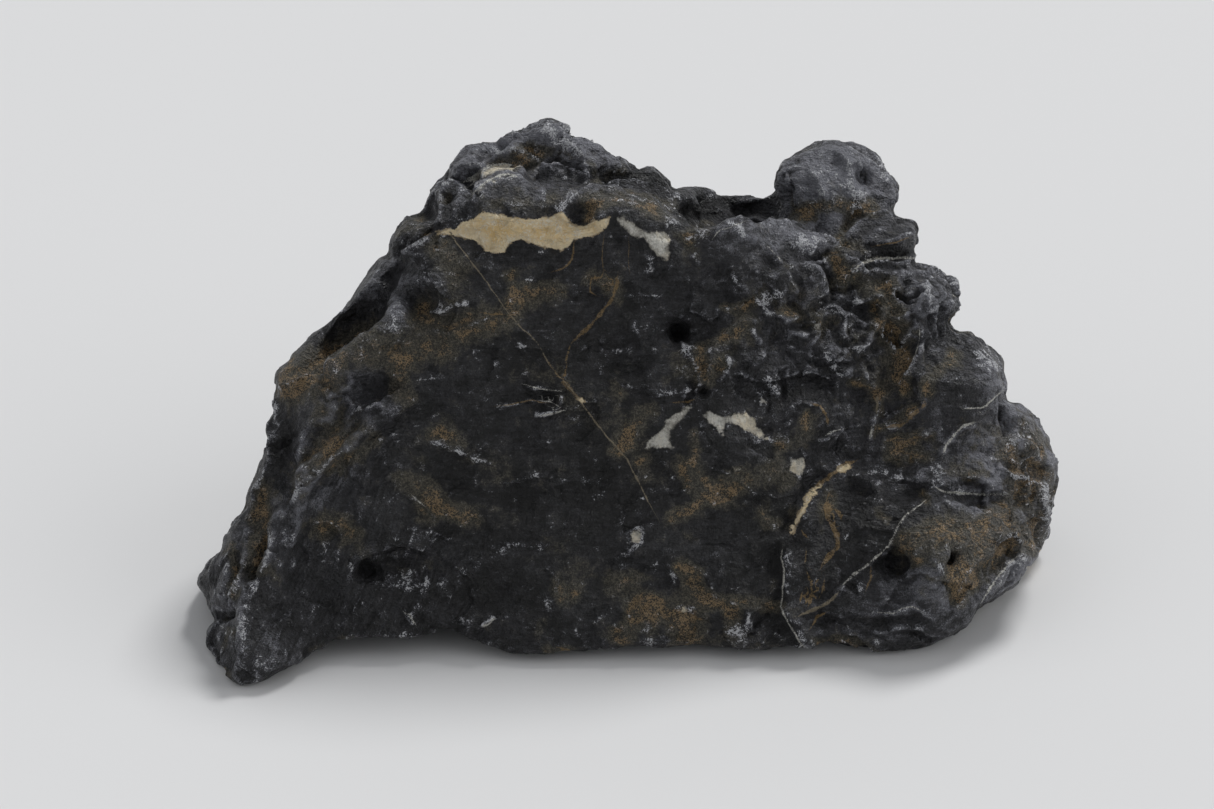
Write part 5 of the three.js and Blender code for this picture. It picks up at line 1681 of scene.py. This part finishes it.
        # Passes that take away rises a few millimetres wide, and those as narrow as an edge.
        for name, passes in (("relief", 14), ("edge", 3)):
            proud = points - self.spread(points, edges, passes)
            marks[name] = np.einsum("ij,ij->i", proud, normals)
        marks["grain"] = np.stack([self.grain(places), places[:, 0], places[:, 2]], axis=1)
        for name, lines, veins in (
            ("pale_thread", PALE_THREADS, BACK_VEINS),
            ("crossing_thread", CROSSING_THREADS, BACK_CROSSING_VEINS),
            ("ochre_thread", OCHRE_THREADS, BACK_OCHRE_VEINS),
        ):
            marks[name] = self.threads(lines, veins, sheet, points, front)
        for name, values in marks.items():
            self.store(skin, name, values)

    def store(self, skin: bpy.types.Object, name: str, values: Array) -> None:
        """Keeps values as an attribute of the mesh's points.

        Args:
            skin: The object.
            name: The attribute's name.
            values: One number, or one row of three, for each point.
        """
        kind, key = ("FLOAT", "value") if values.ndim == 1 else ("FLOAT_VECTOR", "vector")
        attribute = skin.data.attributes.new(name, kind, "POINT")
        attribute.data.foreach_set(key, values.astype(np.float32).ravel())


def add_node(
    tree: bpy.types.NodeTree,
    kind: str,
    inputs: dict[int | str, object],
    output: int | str | None = 0,
    **settings: object,
) -> Socket | None:
    """Adds a node with its settings and links.

    Args:
        tree: The node tree.
        kind: The node's type, without its leading "ShaderNode".
        inputs: What each input, by name or place, holds: a value, or another node's output.
        output: Which output to hand back, if any.
        **settings: The node's own settings.

    Returns:
        The chosen output.
    """
    node = tree.nodes.new("ShaderNode" + kind)
    for name, value in settings.items():
        setattr(node, name, value)
    for key, value in inputs.items():
        if isinstance(value, Socket):
            tree.links.new(value, node.inputs[key])
        else:
            node.inputs[key].default_value = value
    return None if output is None else node.outputs[output]


# Places of a mix node's sockets for colours, which share their names with its others.
SHARE, UNDER, OVER, MIXED = 0, 6, 7, 2


@dataclass(frozen=True)
class Layers:
    """What the finish's layers are made from.

    Attributes:
        node: Adds a node to the material.
        parts: The skin's marks and the noise patterns, by name.
    """

    node: Maker
    parts: Sockets

    def cover(
        self, weights: dict[str, float], low: float, high: float, most: float = 1.0, **others: Socket
    ) -> Socket:
        """How much of a layer shows, where weighted parts add up to between two levels.

        Args:
            weights: The weight of each part, by name.
            low: The sum at which the layer starts to show.
            high: The sum at which it shows in full.
            most: How much it shows in full.
            **others: Parts by name that only this layer has.

        Returns:
            The share of the layer.
        """
        parts = self.parts | others
        total = 0.0
        for name, weight in weights.items():
            total = self.node("Math", {0: parts[name], 1: weight, 2: total}, operation="MULTIPLY_ADD")
        levels = {"Value": total, "From Min": low, "From Max": high, "To Min": 0.0, "To Max": most}
        return self.node("MapRange", levels, interpolation_type="SMOOTHSTEP")


@dataclass(frozen=True)
class BlackLimestone:
    """Black limestone of the sort sold for tanks, shaped by water, with calcite and rust in its cracks.

    Carbon and clay make it nearly black, and water has left it matte with a faint waxy sheen on worn
    places. Bruised edges turn whitish grey, because crushed calcite scatters light. Rust lies on it as
    dust, and the calcite is sugary, white where it is clean and honey-coloured where iron got in.
    """

    black: str = "#202020"  # the smooth body
    slate: str = "#404043"  # where water has roughened it
    # The worn colour also serves as painted light on the peak, knob, right end and scoop.
    worn: str = "#86878e"  # edges and rises that are rubbed
    bruise: str = "#93959d"  # crushed calcite
    chalk: str = "#d0d1d4"  # the freshest flecks of it
    olive: str = "#3b3932"  # thin rust in the skin's dips
    pale_olive: str = "#6a6558"  # its grains
    ochre: str = "#342f28"  # thick rust in the dips
    pale_ochre: str = "#947e5f"  # its grains
    cream: str = "#f8e4bc"  # calcite that iron has tinted
    amber: str = "#ecc57c"  # the same where most iron is
    sugar: str = "#faf4e4"  # its clear crystals
    white: str = "#e6e4db"  # clean calcite
    dull_white: str = "#9f9b91"  # the same with dirt in it
    thread: str = "#938873"  # calcite in hairline cracks
    rusty: str = "#8d7652"  # iron oxide in them, and along the lenses' edges
    ior: float = 1.5  # about calcite's, less a little for its pores
    specular: float = 0.38  # under the usual 0.5, because pores break up the sheen
    waxy: float = 0.34  # roughness where it is worn
    dull: float = 0.62  # roughness where dust lies or calcite shows
    # Widths of the patterns, in millimetres.
    blotch: float = 21.0
    mottle: float = 8.0
    chip: float = 3.0
    flake: float = 2.4
    streak: float = 2.2
    scratch: float = 0.9
    speck: float = 0.8
    dot: float = 0.4
    # How fast streaks and scratches change along the bedding, as a share of how fast across it.
    streak_run: float = 0.34
    scratch_run: float = 0.1
    tooth: float = 0.0024  # depth of the grain that only the light shows, in metres

    def build(self) -> bpy.types.Material:
        """Makes the material.

        Returns:
            The material, ready to assign.
        """
        material = bpy.data.materials.new("black_limestone")
        material.use_nodes = True
        material.node_tree.nodes.clear()
        node = partial(add_node, material.node_tree)
        names = ("ochre", "scuff_and_painted_highlight", "painted_light_and_tone", "cream", "white", "relief", "edge")
        marks = {name: node("Attribute", {}, "Fac", attribute_name=name) for name in names}
        layers = Layers(node, marks | self.patterns(node))
        colour = self.bruises(layers, self.rust(layers, self.body(layers)))
        colour, calcite = self.calcite(layers, self.threads(layers, colour))
        shader = node(
            "BsdfPrincipled",
            {
                "Base Color": colour,
                "Roughness": self.roughness(layers, calcite),
                "Normal": self.bump(layers),
                "IOR": self.ior,
                "Specular IOR Level": self.specular,
            },
        )
        node("OutputMaterial", {"Surface": shader}, None)
        return material

    def patterns(self, node: Maker) -> Sockets:
        """Adds the noise patterns, each about as coarse as its size in millimetres.

        Args:
            node: Adds a node to the material.

        Returns:
            The patterns by name.
        """
        place = node("TexCoord", {}, "Object")
        place = node("VectorMath", {0: place, "Scale": 1 / MILLIMETRE}, operation="SCALE")
        grain = node("Attribute", {}, "Vector", attribute_name="grain")
        along = node("Mapping", {"Vector": grain, "Scale": (1.0, self.streak_run, self.streak_run)})
        hairs = node("Mapping", {"Vector": grain, "Scale": (1.0, self.scratch_run, self.scratch_run)})
        rough = {"Vector": place, "Detail": 8.0, "Roughness": 0.66}
        # Real grains and scratches are under 0.1 mm and wouldn't show, so dot, speck and scratch are
        # drawn as coarse as they need to show.
        sizes = {
            "mottle": rough | {"Scale": 1 / self.mottle},
            "blotch": {"Vector": place, "Scale": 1 / self.blotch, "Detail": 5.0, "Roughness": 0.6},
            "chip": rough | {"Scale": 1 / self.chip, "Distortion": 0.5},
            "speck": {"Vector": place, "Scale": 1 / self.speck, "Detail": 2.0},
            "streak": rough | {"Vector": along, "Scale": 1 / self.streak, "Distortion": 0.6},
            "scratch": {"Vector": hairs, "Scale": 1 / self.scratch, "Detail": 3.0, "Distortion": 0.3},
            "dot": {"Vector": place, "Scale": 1 / self.dot, "Detail": 1.0},
        }
        patterns = {name: node("TexNoise", inputs) for name, inputs in sizes.items()}
        flakes = {"Vector": place, "Scale": 1 / self.flake, "Detail": 2.0, "Roughness": 0.6}
        return patterns | {"flake": node("TexVoronoi", flakes)}

    def body(self, layers: Layers) -> Socket:
        """Colours the black body, slate grey where it is rough and paler where it stands proud, and paler or
        blacker where painted light and shade are laid on.

        Args:
            layers: What layers are made from.

        Returns:
            The colour.
        """
        node = layers.node
        # The tone lays painted light on the tops, the right end and the scoop, and painted shade, nearer
        # black, in pits, grooves and hollows.
        clouds = {"painted_light_and_tone": 0.25, "mottle": 0.9, "streak": 0.6, "scratch": 0.45}
        grains = {"blotch": 0.6, "chip": 0.8, "dot": 0.5, "speck": 0.3}
        slate = layers.cover(clouds | grains, low=1.84, high=2.4)
        inputs = {SHARE: slate, UNDER: linear(self.black), OVER: linear(self.slate)}
        colour = node("Mix", inputs, MIXED, data_type="RGBA")
        proud = {"edge": 0.5, "relief": 0.07, "painted_light_and_tone": 0.28}
        rubbed = {"chip": 0.8, "streak": 0.6, "scratch": 0.4, "dot": 0.8}
        worn = layers.cover(proud | rubbed, low=1.46, high=2.04, most=0.9)
        inputs = {SHARE: worn, UNDER: colour, OVER: linear(self.worn)}
        return node("Mix", inputs, MIXED, data_type="RGBA")

    def rust(self, layers: Layers, under: Socket) -> Socket:
        """Lays on a film of olive dust, and grains of rust where it is thick.

        Args:
            layers: What layers are made from.
            under: The colour below.

        Returns:
            The colour.
        """
        node, cover = layers.node, layers.cover
        wide = {"mottle": 0.9, "blotch": 0.5, "chip": 0.7}
        film = cover({"ochre": 0.55, "relief": -0.02} | wide, low=1.14, high=1.42, most=0.88)
        grains = cover({"dot": 0.9, "speck": 0.9, "chip": 0.4}, low=0.9, high=1.35)
        inputs = {SHARE: grains, UNDER: linear(self.olive), OVER: linear(self.pale_olive)}
        dust = node("Mix", inputs, MIXED, data_type="RGBA")
        under = node("Mix", {SHARE: film, UNDER: under, OVER: dust}, MIXED, data_type="RGBA")
        thick = cover({"ochre": 0.5, "relief": -0.05, "streak": 0.5} | wide, low=1.66, high=1.86)
        weights = {"dot": 1.0, "speck": 0.9, "chip": 0.3, "thick": 0.15}
        grains = cover(weights, low=1.12, high=1.3, thick=thick)
        inputs = {SHARE: grains, UNDER: linear(self.ochre), OVER: linear(self.pale_ochre)}
        dust = node("Mix", inputs, MIXED, data_type="RGBA")
        settled = cover({"grains": 0.5, "chip": 1.0}, low=0.3, high=1.0, grains=grains)
        share = node("Math", {0: thick, 1: settled}, operation="MULTIPLY")
        return node("Mix", {SHARE: share, UNDER: under, OVER: dust}, MIXED, data_type="RGBA")

    def bruises(self, layers: Layers, under: Socket) -> Socket:
        """Lays on bruises, in short streaks along the bedding and on sharp edges.

        Args:
            layers: What layers are made from.
            under: The colour below.

        Returns:
            The colour.
        """
        node, cover = layers.node, layers.cover
        # The scuff mark also carries one soft painted highlight on the right block.
        knocked = {"scuff_and_painted_highlight": 0.36, "edge": 0.3, "relief": 0.02}
        crushed = cover(knocked | {"streak": 0.7, "chip": 1.1, "speck": 0.3}, low=1.14, high=1.56)
        weights = {"dot": 1.1, "speck": 0.7, "crushed": 0.25}
        grains = cover(weights, low=0.86, high=1.16, most=0.9, crushed=crushed)
        share = node("Math", {0: crushed, 1: grains}, operation="MULTIPLY")
        inputs = {SHARE: share, UNDER: under, OVER: linear(self.bruise)}
        colour = node("Mix", inputs, MIXED, data_type="RGBA")
        flecks = cover({"share": 0.7, "chip": 0.9, "dot": 0.9}, low=1.24, high=1.5, share=share)
        inputs = {SHARE: flecks, UNDER: colour, OVER: linear(self.chalk)}
        return node("Mix", inputs, MIXED, data_type="RGBA")

    def threads(self, layers: Layers, under: Socket) -> Socket:
        """Lays on threads of calcite and iron oxide, each by its own distance.

        Args:
            layers: What layers are made from.
            under: The colour below.

        Returns:
            The colour.
        """
        node, cover = layers.node, layers.cover
        crumbs = {"blotch": 0.6, "chip": 0.9, "dot": 0.8, "speck": 0.5}
        for name, colour, ragged, least in (
            ("ochre_thread", self.rusty, 2.6, 1.1),
            ("crossing_thread", self.thread, 1.8, 1.0),
            ("pale_thread", self.white, 2.0, 1.15),
        ):
            marks = node("Attribute", {}, "Vector", attribute_name=name)
            across = node("SeparateXYZ", {"Vector": marks}, "X")
            near, half = across.node.outputs["Y"], across.node.outputs["Z"]
            away = node("Math", {0: across}, operation="ABSOLUTE")
            uneven = {0: layers.parts["chip"], 1: ragged * 2, 2: 1 - ragged}
            uneven = node("Math", uneven, operation="MULTIPLY_ADD")
            reach = node("Math", {0: half, 1: uneven}, operation="MULTIPLY")
            share = cover({"reach": 1.0, "away": -1.0}, low=-0.14, high=0.14, reach=reach, away=away)
            gate = cover({"near": 1.0}, low=0.42, high=0.56, near=near)
            whole = cover(crumbs, low=least, high=least + 0.45, most=0.95)
            share = node("Math", {0: share, 1: gate}, operation="MULTIPLY")
            share = node("Math", {0: share, 1: whole}, operation="MULTIPLY")
            inputs = {SHARE: share, UNDER: under, OVER: linear(colour)}
            under = node("Mix", inputs, MIXED, data_type="RGBA")
        return under

    def calcite(self, layers: Layers, under: Socket) -> tuple[Socket, Socket]:
        """Lays on the lenses of calcite, sugary where they are white and honey-coloured where iron got in.

        Args:
            layers: What layers are made from.
            under: The colour below.

        Returns:
            The colour, and how much calcite shows.
        """
        node, cover = layers.node, layers.cover
        white = cover({"white": -1.0, "chip": 3.0, "speck": 0.5}, low=1.46, high=2.3)
        clean = {"white": -0.3, "mottle": 1.2, "chip": 1.6, "speck": 0.6, "dot": 0.4}
        bright = cover(clean, low=1.7, high=2.5)
        inputs = {SHARE: bright, UNDER: linear(self.dull_white), OVER: linear(self.white)}
        crystal = node("Mix", inputs, MIXED, data_type="RGBA")
        tinge = cover({"mottle": 1.2, "blotch": 0.8, "chip": 0.5}, low=1.2, high=1.6, most=0.6)
        inputs = {SHARE: tinge, UNDER: crystal, OVER: linear(self.cream)}
        crystal = node("Mix", inputs, MIXED, data_type="RGBA")
        colour = node("Mix", {SHARE: white, UNDER: under, OVER: crystal}, MIXED, data_type="RGBA")
        cream = cover({"cream": -1.0, "chip": 3.8, "speck": 0.6}, low=1.95, high=2.4)
        honey = cover({"cream": -0.08, "mottle": 1.6, "chip": 0.9}, low=1.2, high=1.75, most=0.72)
        inputs = {SHARE: honey, UNDER: linear(self.cream), OVER: linear(self.amber)}
        vein = node("Mix", inputs, MIXED, data_type="RGBA")
        light = cover({"speck": 0.6, "chip": 1.4, "dot": 0.5}, low=1.2, high=1.55, most=0.75)
        inputs = {SHARE: light, UNDER: vein, OVER: linear(self.sugar)}
        vein = node("Mix", inputs, MIXED, data_type="RGBA")
        rim = cover({"cream": 1.0, "chip": 2.0}, low=0.55, high=1.2, most=0.7)
        inputs = {SHARE: rim, UNDER: vein, OVER: linear(self.rusty)}
        vein = node("Mix", inputs, MIXED, data_type="RGBA")
        colour = node("Mix", {SHARE: cream, UNDER: colour, OVER: vein}, MIXED, data_type="RGBA")
        return colour, node("Math", {0: white, 1: cream}, operation="MAXIMUM")

    def roughness(self, layers: Layers, calcite: Socket) -> Socket:
        """Makes the stone waxy where it is worn, and dull where dust lies or calcite shows.

        Args:
            layers: What layers are made from.
            calcite: How much calcite shows.

        Returns:
            The roughness.
        """
        weights = {"ochre": 0.25, "mottle": 1.0, "calcite": 0.3, "relief": -0.06}
        share = layers.cover(weights, low=0.3, high=0.85, calcite=calcite)
        return layers.node("MapRange", {"Value": share, "To Min": self.waxy, "To Max": self.dull})

    def bump(self, layers: Layers) -> Socket:
        """Roughens the surface with grain too fine for the mesh.

        Args:
            layers: What layers are made from.

        Returns:
            The normal.
        """
        height = layers.parts["chip"]
        for name, weight in (("streak", 1.3), ("flake", 0.8), ("speck", 0.4), ("dot", 0.12)):
            inputs = {0: layers.parts[name], 1: weight, 2: height}
            height = layers.node("Math", inputs, operation="MULTIPLY_ADD")
        return layers.node("Bump", {"Height": height, "Strength": 1.0, "Distance": self.tooth})


@dataclass
class Rock:
    """The stone: one piece, with its weathered skin and its limestone finish.

    Attributes:
        skin: The surface.
        finish: What it is made of.
    """

    skin: StoneSkin = field(default_factory=StoneSkin)
    finish: BlackLimestone = field(default_factory=BlackLimestone)

    def build(self) -> bpy.types.Object:
        """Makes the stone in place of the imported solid.

        Returns:
            The finished piece.
        """
        piece = self.skin.build()
        piece.data.materials.append(self.finish.build())
        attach(piece, "root")
        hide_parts("rock")
        return piece


@dataclass(frozen=True)
class Lamp:
    """A large lamp so far off that it lights the whole floor evenly.

    Attributes:
        name: What it is called.
        towards: The direction that it hangs in.
        width: How wide it looks from the stone, in degrees.
        power: Its power, in watts for each square metre.
    """

    name: str
    towards: tuple[float, float, float]
    width: float
    power: float


LAMPS = (
    Lamp("key", (0.44, 0.54, 1.0), 20.0, 1.95),
    Lamp("right_fill", (1.0, -0.2, 0.5), 60.0, 0.75),
    Lamp("left_fill", (-1.0, -0.3, 0.6), 60.0, 0.28),
)


@dataclass
class Studio:
    """A pale floor, soft lamps and the camera.

    Attributes:
        face: The broad face's axes, which the camera looks square at.
        floor_size: Side of the floor, in metres.
        floor_colour: A matte white sheet.
        floor_roughness: How matte it is.
        sky_colour: Even light from all round, slightly cool.
        sky_strength: How bright it is.
        focal_pixels: The lens's focal length, counted in pixels of a picture IMAGE_WIDTH wide.
        sensor: Width of the camera's sensor, in millimetres.
        nearest: The least distance that the camera sees, in metres.
    """

    face: FaceFrame = field(default_factory=FaceFrame)
    floor_size: float = 12.0
    floor_colour: str = "#d8d8d8"
    floor_roughness: float = 0.9
    sky_colour: str = "#f2f4f8"
    sky_strength: float = 0.4
    focal_pixels: float = 2743.5
    sensor: float = 36.0
    nearest: float = 0.01

    def build(self) -> None:
        """Makes the floor, the lamps, the sky and the camera."""
        self.floor()
        for lamp in LAMPS:
            self.hang(lamp)
        self.sky()
        self.camera()

    def floor(self) -> None:
        """Lays a plain pale floor."""
        half = self.floor_size / 2
        mesh = bpy.data.meshes.new("floor")
        corners = [(-half, -half, 0), (half, -half, 0), (half, half, 0), (-half, half, 0)]
        mesh.from_pydata(corners, [], [(0, 1, 2, 3)])
        floor = bpy.data.objects.new("floor", mesh)
        bpy.context.scene.collection.objects.link(floor)
        material = bpy.data.materials.new("matte_white_sheet")
        material.use_nodes = True
        shader = material.node_tree.nodes["Principled BSDF"]
        shader.inputs["Base Color"].default_value = linear(self.floor_colour)
        shader.inputs["Roughness"].default_value = self.floor_roughness
        mesh.materials.append(material)

    def hang(self, lamp: Lamp) -> None:
        """Hangs a lamp.

        Args:
            lamp: Which one.
        """
        light = bpy.data.lights.new(lamp.name, "SUN")
        light.angle = math.radians(lamp.width)
        light.energy = lamp.power
        hung = bpy.data.objects.new(lamp.name, light)
        bpy.context.scene.collection.objects.link(hung)
        hung.matrix_world = self.looking(np.array(lamp.towards), np.zeros(3), np.array([0.0, 1.0, 0.0]))

    def looking(self, at: Array, towards: Array, upright: Array) -> Matrix:
        """The matrix of something at one place that looks at another.

        Args:
            at: Where it is.
            towards: What it looks at.
            upright: Roughly which way is up for it.

        Returns:
            A matrix whose -Z points at the target.
        """
        back = (at - towards) / np.linalg.norm(at - towards)
        right = np.cross(upright, back)
        right /= np.linalg.norm(right)
        matrix = np.eye(4)
        matrix[:3] = np.stack([right, np.cross(back, right), back, at], axis=1)
        return Matrix(matrix.tolist())

    def sky(self) -> None:
        """Surrounds the scene with even light."""
        world = bpy.data.worlds.new("soft_box")
        world.use_nodes = True
        background = world.node_tree.nodes["Background"]
        background.inputs["Color"].default_value = linear(self.sky_colour)
        background.inputs["Strength"].default_value = self.sky_strength
        bpy.context.scene.world = world
        bpy.context.scene.view_settings.view_transform = "Standard"

    def camera(self) -> None:
        """Sets the camera square to the broad face."""
        data = bpy.data.cameras.new("camera")
        data.sensor_fit = "HORIZONTAL"
        data.sensor_width = self.sensor
        data.lens = self.sensor * self.focal_pixels / IMAGE_WIDTH
        data.clip_start = self.nearest
        camera = bpy.data.objects.new("camera", data)
        bpy.context.scene.collection.objects.link(camera)
        _, upright, outward = self.face.axes()
        middle = np.array(self.face.origin) * MILLIMETRE
        eye = middle + outward * self.face.eye_distance * MILLIMETRE
        camera.matrix_world = self.looking(eye, middle, upright)
        bpy.context.scene.camera = camera


def main() -> None:
    """Builds the stone and its studio, in order."""
    logging.basicConfig(level=logging.INFO, format="%(name)s: %(message)s")
    Studio().build()
    log.info("studio: floor, lamps and camera")
    piece = Rock().build()
    log.info("%s: %d points", piece.name, len(piece.data.vertices))


if __name__ == "__main__":
    main()
